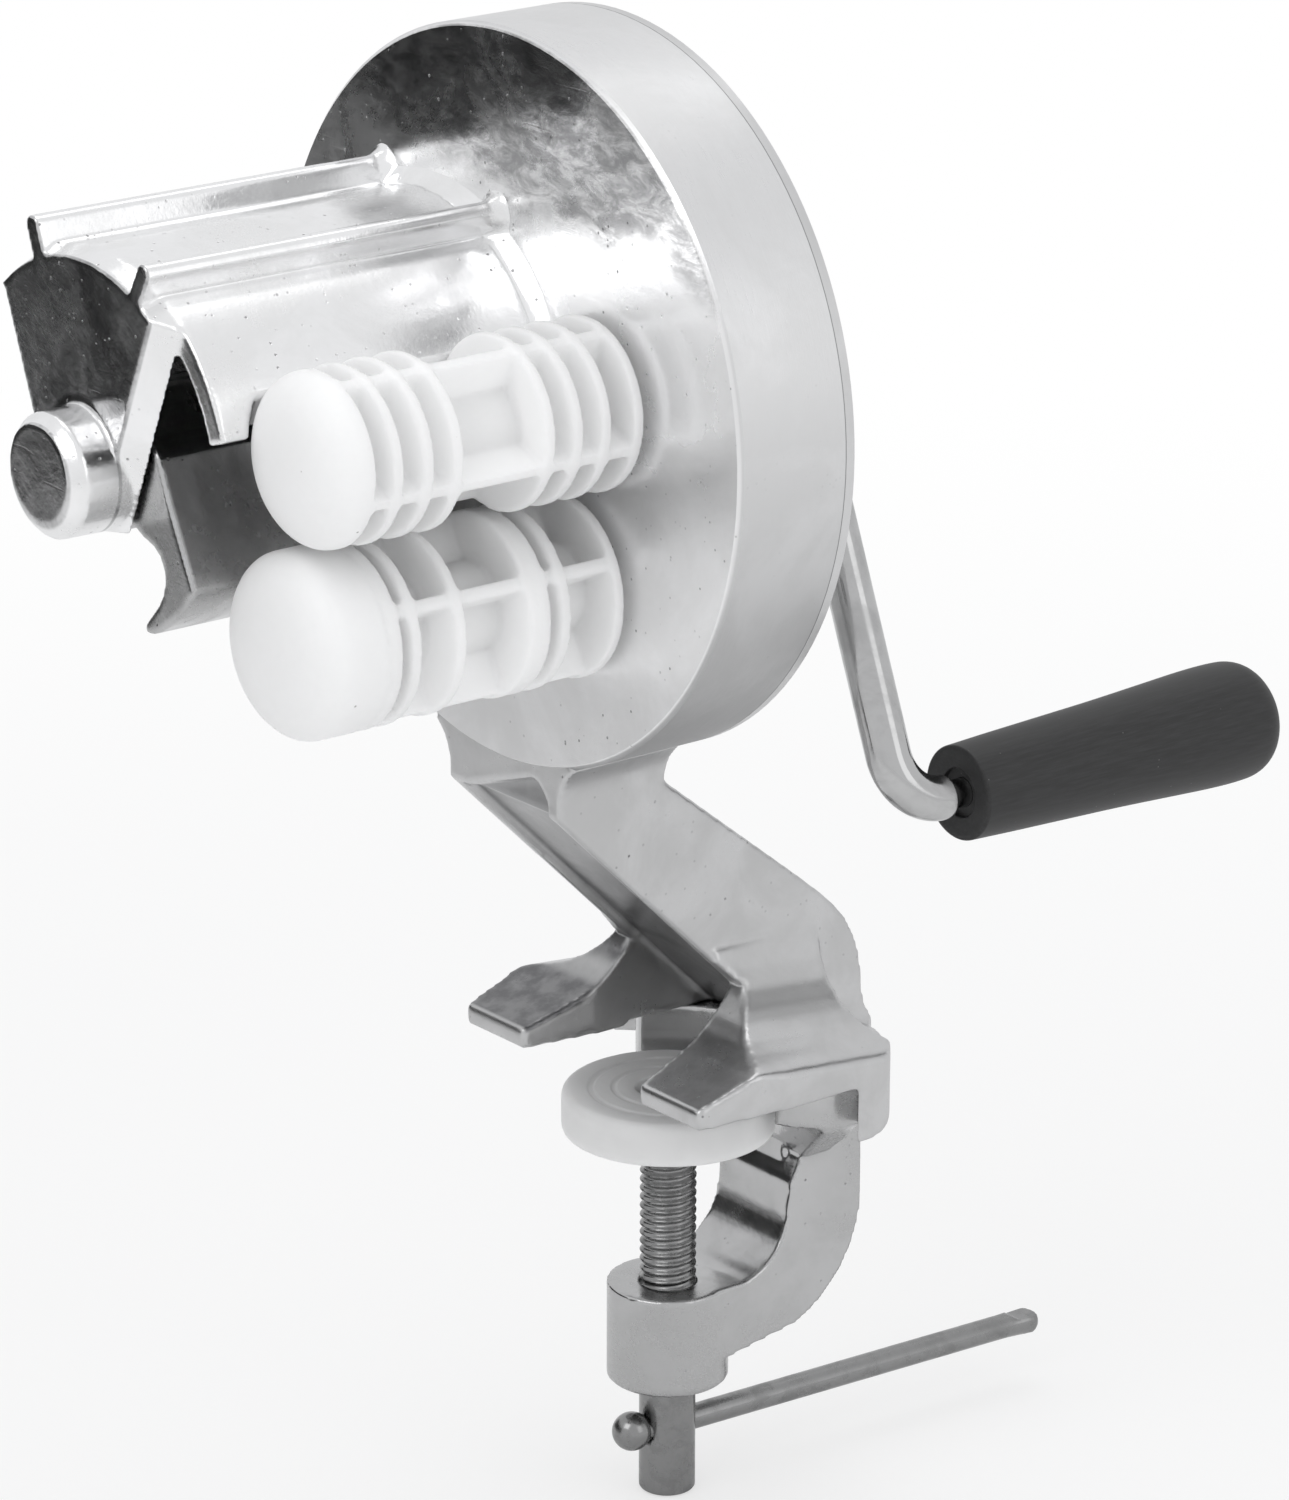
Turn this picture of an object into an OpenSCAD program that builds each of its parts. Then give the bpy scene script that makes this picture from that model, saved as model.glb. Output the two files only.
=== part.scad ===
// Hand cranked roller machine for shell shaped pasta, with a table clamp.
// Origin: on the clamp screw's axis, in the plane of the fork's undersides,
// where the table top lies. +Z is up, -Y is the feed side, +Y the crank side.

/* [Gear case] */
// Outer radius of the round gear case
case_r = 75; // [70:0.5:78]
// Height of the case's axis above the table top
case_z = 148.5; // [146:0.5:152]
// Front face of the case along Y
case_front = -43.5; // [-45:0.5:-42]
// Depth of the cast case without its cover
case_depth = 26.2; // [25:0.1:28]
// Thickness of the case's front wall
front_wall = 6; // [5:0.5:7]
// Thickness of the case's round wall
rim_wall = 5; // [4:0.5:6]
// Thickness of the rear cover plate
cover_t = 2; // [1.6:0.2:3]

/* [Gear train] */
// Module of the gears
gear_module = 1.5; // [1.5:0.1:1.5]
// Teeth of each roller gear
roller_teeth = 26; // [26:1:26]
// Teeth of the rotor gear
rotor_teeth = 46; // [46:1:46]
// Direction from the rotor's axis to the upper roller's axis
upper_angle = 10.7; // [9:0.1:12]
// Rotor axis, sideways from the case's axis
rotor_dx = -22; // [-23:0.5:-21]
// Rotor axis, up from the case's axis
rotor_dz = -3.5; // [-5:0.5:-2]

/* [Feed rollers] */
// Outer radius of the larger, lower roller
roller_r = 18.6; // [18:0.1:18.7]
// Gap between a roller and the case's face
roller_gap = 2; // [1.5:0.5:3]
// Length of a roller without its dome
roller_len = 65; // [60:0.5:66]
// Height of the domed end
dome_h = 8.5; // [8:0.5:11]
// Thickness of a roller's discs
disc_t = 2.2; // [1.6:0.1:2.6]
// Thickness of a lengthwise web
web_t = 2.6; // [2:0.1:3]

/* [Forming rotor and shell] */
// Outer radius of the rotor's lobes
rotor_r = 35; // [33:0.1:35.1]
// Number of hooked lobes
lobes = 2; // [2:1:3]
// Length of the rotor
rotor_len = 76.6; // [70:0.1:76.8]
// Inner radius of the forming shell
shell_ri = 37.5; // [37:0.1:38]
// Outer radius of the forming shell
shell_ro = 42.5; // [42:0.1:43]
// Length of the shell and its end bracket out of the case
shell_len = 84; // [80:1:86]
// Angle of the shell's lower lip
lip_angle = 17; // [12:1:24]
// Angle of the shell's far edge
far_angle = 131.6; // [125:0.5:135]
// Height of a ridge over the shell
ridge_h = 6.5; // [4:0.5:8]
// Width of a ridge
ridge_w = 4; // [3:0.5:5]
// Thickness of the end bracket's plate
bracket_t = 4.5; // [4:0.1:4.6]
// Radius of the end bracket's bearing boss
boss_r = 10.6; // [10:0.1:12]

/* [Stand and fork] */
// Half width of the neck and the arm
arm_half = 18; // [16:0.5:20]
// Half width over the prongs' tips
tip_half = 39; // [37:0.5:40]
// Half of the gap between the prongs' tips
gap_half = 19.5; // [18:0.5:20]
// Half width of the foot
foot_half = 41; // [40:0.5:42]
// Depth of the channel in the arm's front
channel_d = 2; // [1:0.2:3]
// Width of each rim beside the channel
channel_rim = 2.6; // [2:0.2:7]

/* [Clamp] */
// Radius of the clamp screw
screw_r = 6; // [6:0.5:6]
// Travel of the screw in one turn
screw_pitch = 2; // [1.75:0.25:2]
// Opening between the fork and the pad at rest
throat = 8; // [6:0.5:9]
// Radius of the clamp pad
pad_r = 22.5; // [20:0.5:23]
// Thickness of the clamp pad
pad_t = 9.5; // [8:0.5:10]
// Radius of the nut boss
nut_r = 12.9; // [11.5:0.1:13]
// Radius of the tommy bar
bar_r = 2.7; // [2:0.1:2.8]
// Length of the tommy bar from the ball's centre
bar_len = 108; // [90:1:110]

/* [Crank] */
// Radius at which the handle turns
crank_throw = 91.5; // [85:0.5:95]
// Direction of the arm at rest, down from +X
crank_angle = 68.2; // [60:0.1:80]
// Radius of the crank rod
rod_r = 4.6; // [4.5:0.1:5]
// Length of the grip
grip_len = 80.5; // [70:0.5:85]
// Radius of the grip's near end
grip_r1 = 9.9; // [9.5:0.1:11]
// Radius of the grip's far end
grip_r2 = 12.7; // [12:0.1:14]

/* [Hidden] */
$fn = 96;
eps = 0.01;
run_gap = 0.05;

// Places of the three turning axes
roller_pitch_r = gear_module * roller_teeth / 2;
rotor_pitch_r = gear_module * rotor_teeth / 2;
mesh_dist = roller_pitch_r + rotor_pitch_r;
roller_dist = 2 * roller_pitch_r;
roller_angle = 2 * asin(roller_dist / 2 / mesh_dist);
lower_angle = upper_angle - roller_angle;
rotor_x = rotor_dx;
rotor_z = case_z + rotor_dz;
drive_x = rotor_x + mesh_dist * cos(upper_angle);
drive_z = rotor_z + mesh_dist * sin(upper_angle);
idler_x = rotor_x + mesh_dist * cos(lower_angle);
idler_z = rotor_z + mesh_dist * sin(lower_angle);

// Stations along Y, from the case's front face
cavity_y = case_front + front_wall;
cover_y = case_front + case_depth;
back_y = cover_y + cover_t;
plane_a = case_front + 8;
plane_b = case_front + 15;
gear_a_w = 6;
gear_b_w = 6.5;
boss_front = cover_y - 3;

// Shafts and bushes
shaft_r = 6;
bush_r = 8;
shaft_end = case_front - 50;
rotor_front = case_front - roller_gap - rotor_len;
bracket_front = case_front - shell_len;
shell_front = bracket_front + bracket_t;
boss_front_y = bracket_front - 10.5;
rod_plane = 6.5;
bend_in = 11;
bend_out = 11;
collar_y = back_y + 1.3;
collar_end = rod_plane - bend_in;
rod_start = collar_y + 4.5;
spindle_r = 3;
spindle_y = rod_plane + bend_out;
grip_y = spindle_y + 3.9;

// Clamp heights
pad_top = -throat;
pad_bottom = pad_top - pad_t;
nut_top = -51.5;
nut_h = 22.5;
screw_end = -99.5;
bar_z = -85.2;
bar_yaw = 3.5;
ball_r = 4.2;
ball_d = 9.2;
ball_up = 0.7;
swivel_r = 4;

// Points of an arc, from angle a0 to a1 in n steps
function arc(cx, cy, r, a0, a1, n = 12) =
    [for (i = [0:n]) let (a = a0 + (a1 - a0) * i / n) [cx + r * cos(a), cy + r * sin(a)]];

// Involute function, in degrees
function inv(a) = tan(a) * 180 / PI - a;

// Half angle of a tooth at radius r
function half_tooth(r, z, pr, br, play) =
    90 / z - play / pr * 180 / PI + inv(20) - inv(acos(min(1, br / r)));

// A cylinder along +Y from y0
module rod_y(y0, len, r, r2 = -1) {
    translate([0, y0, 0])
        rotate([-90, 0, 0])
            cylinder(h = len, r1 = r, r2 = r2 < 0 ? r : r2);
}

// A flat shape in X and Z, thick from y0 to y1
module slab_y(y0, y1) {
    translate([0, y1, 0])
        rotate([90, 0, 0])
            linear_extrude(height = y1 - y0)
                children();
}

// A flat shape in Y and Z, thick from x0 to x1
module slab_x(x0, x1) {
    translate([x0, 0, 0])
        rotate([90, 0, 90])
            linear_extrude(height = x1 - x0)
                children();
}

// A profile of radius and Y, turned about the Y axis
module turn_y() {
    rotate([-90, 0, 0])
        rotate_extrude()
            children();
}

module at_case() {
    translate([0, 0, case_z]) children();
}

module at_rotor() {
    translate([rotor_x, 0, rotor_z]) children();
}

module at_drive() {
    translate([drive_x, 0, drive_z]) children();
}

module at_idler() {
    translate([idler_x, 0, idler_z]) children();
}

// Sector of a circle between two angles
module sector(a0, a1, r) {
    polygon(concat([[0, 0]], arc(0, 0, r, a0, a1, 16)));
}

// Spur gear with involute flanks and a tooth's middle at angle phase
module spur_gear(z, y0, w, phase, bore) {
    pr = gear_module * z / 2;
    br = pr * cos(20);
    tip = pr + 0.94 * gear_module;
    root = pr - 1.2 * gear_module;
    base = max(br, root) + 0.05;
    steps = 4;
    play = 0.07;
    flank = [for (i = [0:steps]) base + (tip - base) * i / steps];
    teeth = [for (t = [0:z - 1]) let (c = phase + 360 * t / z)
        concat([[root * cos(c - half_tooth(base, z, pr, br, play)),
                 root * sin(c - half_tooth(base, z, pr, br, play))]],
               [for (r = flank) let (a = c - half_tooth(r, z, pr, br, play))
                   [r * cos(a), r * sin(a)]],
               [for (i = [steps:-1:0]) let (r = flank[i],
                   a = c + half_tooth(r, z, pr, br, play))
                   [r * cos(a), r * sin(a)]],
               [[root * cos(c + half_tooth(base, z, pr, br, play)),
                 root * sin(c + half_tooth(base, z, pr, br, play))]])];
    difference() {
        slab_y(y0, y0 + w)
            polygon([for (t = teeth) for (p = t) p]);
        rod_y(y0 - 1, w + 2, bore);
    }
}

// Phases that put the three gears in mesh
drive_phase = upper_angle + 180;
rotor_phase = upper_angle + 180 / rotor_teeth;
idler_line = (upper_angle + lower_angle) / 2 - 90;
drive_pitch = 360 / roller_teeth;
drive_shift = idler_line - drive_phase
    - drive_pitch * round((idler_line - drive_phase) / drive_pitch);
idler_phase = idler_line + 180 + drive_shift + drive_pitch / 2;

// The cast case, open at the back
module gear_case() {
    bevel = 1;
    color("gainsboro")
        difference() {
            at_case() {
                rod_y(case_front, bevel, case_r - bevel, case_r);
                rod_y(case_front + bevel, case_depth - bevel, case_r);
            }
            at_case() rod_y(cavity_y, case_depth, case_r - rim_wall);
            at_rotor() rod_y(case_front - 1, front_wall + 2, bush_r);
            at_drive() rod_y(case_front - 1, front_wall + 2, bush_r);
            at_idler() rod_y(case_front - 1, front_wall + 2, bush_r);
        }
    color("gainsboro") cover_lugs();
}

lug_r = 4.5;
lug_at = case_r - rim_wall - lug_r + 1.5;
lug_angles = [60, 150, 240, 330];
cover_hole = 1.7;

// Four threaded lugs inside the rim that hold the cover
module cover_lugs() {
    lug_depth = case_depth - front_wall;
    intersection() {
        at_case()
            for (a = lug_angles)
                translate([lug_at * cos(a), 0, lug_at * sin(a)])
                    difference() {
                        rod_y(cavity_y, lug_depth, lug_r);
                        rod_y(cover_y - 10, 11, 1.5);
                    }
        at_case() rod_y(cavity_y, lug_depth, case_r - rim_wall);
    }
}

module rear_cover() {
    hub_r = 11;
    color("silver")
        difference() {
            union() {
                at_case() rod_y(cover_y, cover_t, case_r);
                at_rotor() rod_y(boss_front, cover_y - boss_front, hub_r);
                at_idler() rod_y(boss_front, cover_y - boss_front, hub_r);
                at_drive() rod_y(boss_front, cover_y - boss_front, hub_r);
            }
            at_drive() rod_y(boss_front - 1, 9, bush_r);
            at_rotor() rod_y(boss_front - 1, 4.5, bush_r);
            at_idler() rod_y(boss_front - 1, 4.5, bush_r);
            at_case()
                for (a = lug_angles)
                    translate([lug_at * cos(a), 0, lug_at * sin(a)])
                        rod_y(cover_y - 1, cover_t + 2, cover_hole);
        }
}

module cover_screws() {
    head_h = 2;
    color("dimgray")
        at_case()
            for (a = lug_angles)
                translate([lug_at * cos(a), 0, lug_at * sin(a)])
                    difference() {
                        union() {
                            rod_y(back_y, head_h, 3.2, 2.6);
                            rod_y(back_y - 8, 8, 1.5);
                        }
                        translate([-0.5, back_y + 1, -4]) cube([1, 2, 8]);
                    }
}

// A plain bush with a running bore
module bush(y0, len, r_in = shaft_r) {
    difference() {
        rod_y(y0, len, bush_r);
        rod_y(y0 - 1, len + 2, r_in + run_gap);
    }
}

module rotor_bush_inner() {
    color("goldenrod") at_rotor() bush(case_front - 0.8, front_wall + 0.8);
}

module rotor_bush_rear() {
    color("goldenrod") at_rotor() bush(boss_front, 3.5);
}

module drive_bush_front() {
    color("goldenrod") at_drive() bush(case_front - 0.8, front_wall + 0.8);
}

module drive_bush_rear() {
    color("goldenrod") at_drive() bush(boss_front, back_y + 0.6 - boss_front);
}

module idler_bush_front() {
    color("goldenrod") at_idler() bush(case_front - 0.8, front_wall + 0.8);
}

module idler_bush_rear() {
    color("goldenrod") at_idler() bush(boss_front, 3.5);
}

outer_bush_y = boss_front_y + 3;

module rotor_bush_outer() {
    color("goldenrod")
        at_rotor()
            difference() {
                rod_y(outer_bush_y, bracket_front + bracket_t - outer_bush_y, 7);
                rod_y(outer_bush_y - 1, 20, 5 + run_gap);
            }
}

ridge_angles = [63, 110];

// One lengthwise ridge on the shell, with a round crest
module ridge(a) {
    crest = shell_ro + ridge_h - ridge_w / 2;
    rotate([0, -a, 0]) {
        translate([shell_ri + 2, bracket_front, -ridge_w / 2])
            cube([crest - shell_ri - 2, shell_len, ridge_w]);
        translate([crest, 0, 0]) rod_y(bracket_front, shell_len, ridge_w / 2);
    }
}

// Casting fillet where the shell and the ridges meet the case
module root_fillet() {
    grow = 3;
    difference() {
        union() {
            intersection() {
                rod_y(case_front - grow, grow, shell_ro, shell_ro + grow);
                slab_y(case_front - grow, case_front) sector(lip_angle, far_angle, 60);
            }
            for (a = ridge_angles)
                rotate([0, -a, 0])
                    translate([shell_ro + ridge_h - ridge_w / 2, 0, 0])
                        rod_y(case_front - grow, grow, ridge_w / 2, ridge_w / 2 + grow / 2);
        }
        rod_y(case_front - grow - 1, grow + 2, shell_ri + 1);
    }
}

// Plate that closes the shell's end and carries the rotor's outer bearing
module end_bracket() {
    outline = [[60, 23.9], [60, 80], [-40, 80], [-27.65, 33.27],
               [-17, 5.5], [-11, -3], [-4, -10.5], [6, -12.5], [11.3, -12.7],
               [27.8, 23.9]];
    difference() {
        intersection() {
            union() {
                slab_y(bracket_front, shell_front) polygon(outline);
                slab_y(bracket_front, shell_front) sector(ridge_angles[0], far_angle, 60);
            }
            rod_y(bracket_front, bracket_t, shell_ri + 3.2, shell_ro);
        }
        // Sloping right edge of the plate
        translate([21.7, bracket_front, 29])
            rotate([0, 23.2, 0])
                rotate([0, 0, -50])
                    translate([0, -30, -60])
                        cube([40, 60, 120]);
    }
}

// Room in the shell for the upper roller and its dome
module roller_relief() {
    room = roller_r - 0.6;
    y_out = case_front - roller_gap - roller_len;
    translate([drive_x - rotor_x, 0, drive_z - rotor_z]) {
        rod_y(y_out - 3, roller_len + 10, room);
        rod_y(y_out - 5.4, 2.4 + eps, room - 3.2, room);
        rod_y(y_out - dome_h - 1.4, dome_h - 4 + eps, 6.5, room - 3.2);
    }
}

// Ribbed shell over the rotor, with its end bracket and bearing boss
module forming_shell() {
    boss_drop = -0.8;
    color("whitesmoke")
        at_rotor()
            difference() {
                union() {
                    difference() {
                        intersection() {
                            rod_y(shell_front, case_front - shell_front, shell_ro);
                            slab_y(shell_front, case_front)
                                sector(lip_angle, far_angle, 60);
                        }
                        rod_y(shell_front - 1, case_front - shell_front + 2, shell_ri);
                    }
                    for (a = ridge_angles) ridge(a);
                    root_fillet();
                    end_bracket();
                    rod_y(boss_front_y, 3, boss_r - 0.6);
                    translate([0, 0, boss_drop]) {
                        rod_y(boss_front_y + 0.6, 2, boss_r, boss_r + 1.9);
                        rod_y(boss_front_y + 2.6, shell_front - boss_front_y - 2.6,
                              boss_r + 1.9, boss_r + 2.1);
                    }
                }
                rod_y(outer_bush_y, 30, 7);
                roller_relief();
            }
}

// Side view of the arm in Y and Z, with a straight sloping front
prong_tip_y = -23.5;
foot_back = 41.8;
foot_back_r = 60;
lip_z = -12;
lip_t = 6;
arm_front_y = 22.85;
arm_slope = 1.015;

neck_front = case_front + 0.4;
neck_low = (arm_front_y - neck_front) / arm_slope;

function front_y(z, depth = 0) = arm_front_y + 1.42 * depth - arm_slope * z;

arm_side = [[arm_front_y, 0], [neck_front, neck_low],
     [neck_front, case_z - case_r + 6], [-15.4, case_z - case_r + 6],
     [-15.6, 67.6], [19.6, 39.6], [26, 34.3], [29.6, 31], [32.6, 27.4], [35, 23.2],
     [36.5, 18.8], [37.2, 14.4], [37.6, 10], [38.6, 6.4], [40, 4], [40.6, 2.4],
     [40.6, 0]];

// Side view of the prongs and of the wings beside the arm
wing_side = [[prong_tip_y, 0], [prong_tip_y, 4.2], [-14.8, 7], [-9.5, 8.9], [-5.3, 11],
             [-1.6, 14], [1.2, 17.4], [2.5, 20], [-3, 25.6], [-3, 28], [24.4, 28],
             [24.8, 17], [25.8, 11.6], [27.4, 8.4], [30, 5.8], [34, 3.8], [38, 2.8],
             [foot_back, 2.4], [foot_back, 0]];

// Front view of one side of the foot, flaring out from the arm
function wing_half(s) = [for (p = wing_top) [s * p[0], p[1]]];

wing_fall = 5.5;
wing_top = [[foot_half + 3, -10], [foot_half + 3, -2.4], [foot_half - 0.5, 7.4], [foot_half - 1.6, 8.4],
            [foot_half - 3.6, 9.2], [34, 10.2], [30, 11.8], [27, 13.8], [24.5, 16.2],
            [22, 19.6], [20, 23.8], [18.8, 27.8], [arm_half, 30]];

// Fillet between the neck and the round case, on one side
neck_fillet = 12;

function neck_half(s) =
    let (cx = arm_half + neck_fillet,
         cz = case_z - sqrt(pow(case_r + neck_fillet, 2) - cx * cx))
    concat([[s * arm_half, 50]],
           arc(s * cx, cz, neck_fillet, s > 0 ? 180 : 0, s > 0 ? 112 : 68, 7),
           [[s * (arm_half + 6), case_z - 60]]);

function reversed(v) = [for (i = [len(v) - 1:-1:0]) v[i]];

// Upright block with the foot's outline, with its prongs and its round back
module foot_block() {
    intersection() {
        translate([0, 0, -1])
            linear_extrude(height = 40)
                polygon([[-tip_half, prong_tip_y], [tip_half, prong_tip_y],
                         [foot_half, 0], [foot_half + 5, 60],
                         [-foot_half - 5, 60], [-foot_half, 0]]);
        translate([0, foot_back - foot_back_r, -2]) cylinder(h = 50, r = foot_back_r);
    }
}

// Gap between the two prongs, back to the sloping web
module fork_gap() {
    intersection() {
        translate([0, 0, -1])
            linear_extrude(height = 21)
                polygon([[-gap_half - 0.1, prong_tip_y - 1], [-17, -6.5], [-15.8, 20],
                         [-15.8, 30], [15.8, 30], [15.8, 20], [17, -6.5],
                         [gap_half + 0.1, prong_tip_y - 1]]);
        slab_x(-25, 25)
            polygon([[-40, -2], [front_y(-2, channel_d), -2],
                     [front_y(21, channel_d), 21], [-40, 21]]);
    }
}

// Shallow channel along the arm's front face, whose top slants up into the neck
module arm_channel() {
    half = arm_half - channel_rim;
    top_z = 64.4;
    slab_x(-half, half)
        polygon([[-60, 8], [front_y(8, channel_d), 8],
                 [front_y(top_z, channel_d), top_z], [-60, top_z]]);
    slab_y(-60, neck_front + channel_d)
        polygon([[-half + 0.6, top_z - 2], [-half + 3, top_z], [-9.5, 65.6],
                 [9, 71.8], [10.8, 71.6], [12.6, 70.2], [14.4, 67.6],
                 [half - 0.4, top_z - 2]]);
}

// Pocket under the foot for the bracket's head
pocket_half = 33.3;
pocket_d = 0.8;

module head_pocket() {
    translate([0, foot_back - foot_back_r, -1])
        intersection() {
            cylinder(h = 1 + pocket_d, r = foot_back_r - lip_t);
            translate([-pocket_half, 20, -1]) cube([2 * pocket_half, 60, 10]);
        }
}

// Curved lip that hangs behind the bracket's head
module foot_lip() {
    corner = 4;
    intersection() {
        translate([0, foot_back - foot_back_r, 0])
            rotate_extrude()
                polygon(concat([[foot_back_r - lip_t, 2],
                                [foot_back_r - lip_t, lip_z]],
                               arc(foot_back_r - corner, lip_z + corner, corner, -90, 0, 5),
                               [[foot_back_r, 2]]));
        translate([-60, 0, lip_z - 1]) cube([120, 80, 40]);
    }
}

// Foot before the fork gap and the head pocket are cut
module foot() {
    intersection() {
        union() {
            intersection() {
                slab_x(-60, 60) polygon(wing_side);
                rotate([-wing_fall, 0, 0])
                    slab_y(-60, 60)
                        polygon(concat(wing_half(1), reversed(wing_half(-1))));
                foot_block();
            }
            foot_lip();
        }
        translate([-foot_half, -60, lip_z - 1]) cube([2 * foot_half, 140, 60]);
    }
}

module clamp_stand() {
    color("gainsboro")
        difference() {
            union() {
                slab_x(-arm_half, arm_half) polygon(arm_side);
                intersection() {
                    slab_x(-60, 60)
                        polygon([[neck_front, neck_low], [-15.6, neck_low],
                                 [-15.6, 90], [neck_front, 90]]);
                    slab_y(-60, 60)
                        polygon(concat(neck_half(1), reversed(neck_half(-1))));
                }
                foot();
            }
            at_case() rod_y(case_front - 1, case_depth + 10, case_r);
            arm_channel();
            fork_gap();
            head_pocket();
        }
}

head_half = 33;
body_half = 12;
head_bottom = -12;
jaw_r = 24.6;

// Side view of the bracket's round back, in Y and Z
function c_outline() = concat(
    [[29, -19], [42, -19], [43.2, -30]],
    arc(14.6, -38, 28.6, 0, -68, 8),
    [[7, -67.5], [0, -67.8], [0, nut_top], [7, nut_top]],
    arc(8.5, -37, 14.8, -80, 0, 8),
    [[24, -32], [26.5, -27]]);

// Plan view of the bracket's head, with rounded front corners
module head_plan(inset = 0) {
    corner = 15;
    cx = head_half - corner;
    cy = 9.5 + corner;
    polygon(concat([[inset - head_half, 60]],
                   arc(-cx, cy, corner - inset, 180, 270, 8),
                   arc(cx, cy, corner - inset, 270, 360, 8),
                   [[head_half - inset, 60]]));
}

// Separate bracket that hooks under the foot and holds the screw
module c_bracket() {
    back_c = foot_back - foot_back_r;
    back_r = foot_back_r - lip_t - 0.1;
    color("silver")
        difference() {
            union() {
                // Hooked head, with a round back that fits the lip
                intersection() {
                    translate([0, back_c, head_bottom])
                        cylinder(h = pocket_d - head_bottom, r = back_r);
                    translate([0, 0, head_bottom])
                        linear_extrude(height = 20) head_plan();
                }
                // Flanks that narrow from the head to the body
                intersection() {
                    slab_y(16, 44)
                        polygon([[-head_half + 0.5, -11.9], [-body_half, -27],
                                 [body_half, -27], [head_half - 0.5, -11.9]]);
                    translate([0, back_c, -40]) cylinder(h = 40, r = back_r);
                    translate([0, 0, -30]) linear_extrude(height = 25) head_plan(0.5);
                    slab_x(-40, 40)
                        polygon([[16, -11.9], [50, -11.9], [50, -27], [27, -27]]);
                }
                slab_x(-body_half, body_half) polygon(c_outline());
                // Knee between the head and the body
                slab_x(-7, 7)
                    polygon([[24.7, -11.9], [30, -11.9], [30, -36], [25.6, -33]]);
                translate([0, 0, nut_top - nut_h + 1])
                    cylinder(h = nut_h - 1, r = nut_r);
                translate([0, 0, nut_top - nut_h])
                    cylinder(h = 1, r1 = nut_r - 1.5, r2 = nut_r);
            }
            translate([0, 0, nut_top - nut_h - 1])
                cylinder(h = nut_h + 2, r = screw_r + run_gap);
            translate([0, 0, -30]) cylinder(h = 40, r = jaw_r);
        }
}

module drive_shaft() {
    color("lightsteelblue")
        at_drive()
            difference() {
                rod_y(shaft_end, rod_start - shaft_end, shaft_r);
                pin_hole(plane_a + gear_a_w / 2, 1.5);
            }
}

// Cross hole for a pin through a shaft and its gear
module pin_hole(y, r) {
    translate([0, y, -12]) cylinder(h = 24, r = r);
}

module drive_gear() {
    color("slategray")
        at_drive()
            difference() {
                spur_gear(roller_teeth, plane_a, plane_b + gear_b_w - plane_a,
                          drive_phase, shaft_r);
                pin_hole(plane_a + gear_a_w / 2, 1.5);
            }
}

module drive_pin() {
    color("dimgray") at_drive() pin_hole(plane_a + gear_a_w / 2, 1.5);
}

module idler_shaft() {
    color("lightsteelblue")
        at_idler()
            difference() {
                rod_y(shaft_end, boss_front + 3.4 - shaft_end, shaft_r);
                pin_hole(plane_a + gear_a_w / 2, 1.5);
            }
}

module idler_gear() {
    color("slategray")
        at_idler()
            difference() {
                spur_gear(roller_teeth, plane_a, gear_a_w, idler_phase, shaft_r);
                pin_hole(plane_a + gear_a_w / 2, 1.5);
            }
}

module idler_pin() {
    color("dimgray") at_idler() pin_hole(plane_a + gear_a_w / 2, 1.5);
}

module rotor_gear() {
    color("slategray")
        at_rotor()
            difference() {
                spur_gear(rotor_teeth, plane_b, gear_b_w, rotor_phase, shaft_r);
                pin_hole(plane_b + gear_b_w / 2, 1.5);
            }
}

module rotor_pin() {
    color("dimgray") at_rotor() pin_hole(plane_b + gear_b_w / 2, 1.5);
}

module rotor_shaft() {
    color("lightsteelblue")
        at_rotor()
            difference() {
                union() {
                    rod_y(rotor_front, boss_front + 3.4 - rotor_front, shaft_r);
                    rod_y(outer_bush_y + 0.3, rotor_front - outer_bush_y - 0.3, 5);
                }
                pin_hole(plane_b + gear_b_w / 2, 1.5);
            }
}

// One hooked lobe of the rotor, seen along the shaft
module lobe() {
    polygon(concat([[0, 0], [13, 7], [15.6, 6], [17.2, 4.4], [20.3, -3.3],
                    [24.3, -11.3]],
                   arc(0, 0, rotor_r, -35, -64, 8),
                   [[13.3, -32], [12, -31.7], [11.6, -30.9], [12.8, -29.4],
                    [14.6, -27.5], [16.6, -25.2], [18, -22.9], [18.7, -20.4],
                    [18.5, -17.8], [17.2, -15.4], [15, -13.8], [12, -13], [8, -11]]));
}

module forming_rotor() {
    hub_r = 14;
    color("lightgray")
        at_rotor()
            difference() {
                union() {
                    rod_y(rotor_front, rotor_len, hub_r);
                    for (i = [0:lobes - 1])
                        rotate([0, -i * 360 / lobes, 0])
                            slab_y(rotor_front, rotor_front + rotor_len) lobe();
                }
                rod_y(rotor_front - 1, rotor_len + 2, shaft_r);
            }
}

// Stations of each roller's discs, from the case outwards
upper_discs = [0, 7.9, 14.8, 21.4, 43.2, 50.2, 57.1];
lower_discs = [0, 13.2, 17.8, 20.9, 38.3, 48.9, 53.3];

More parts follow.
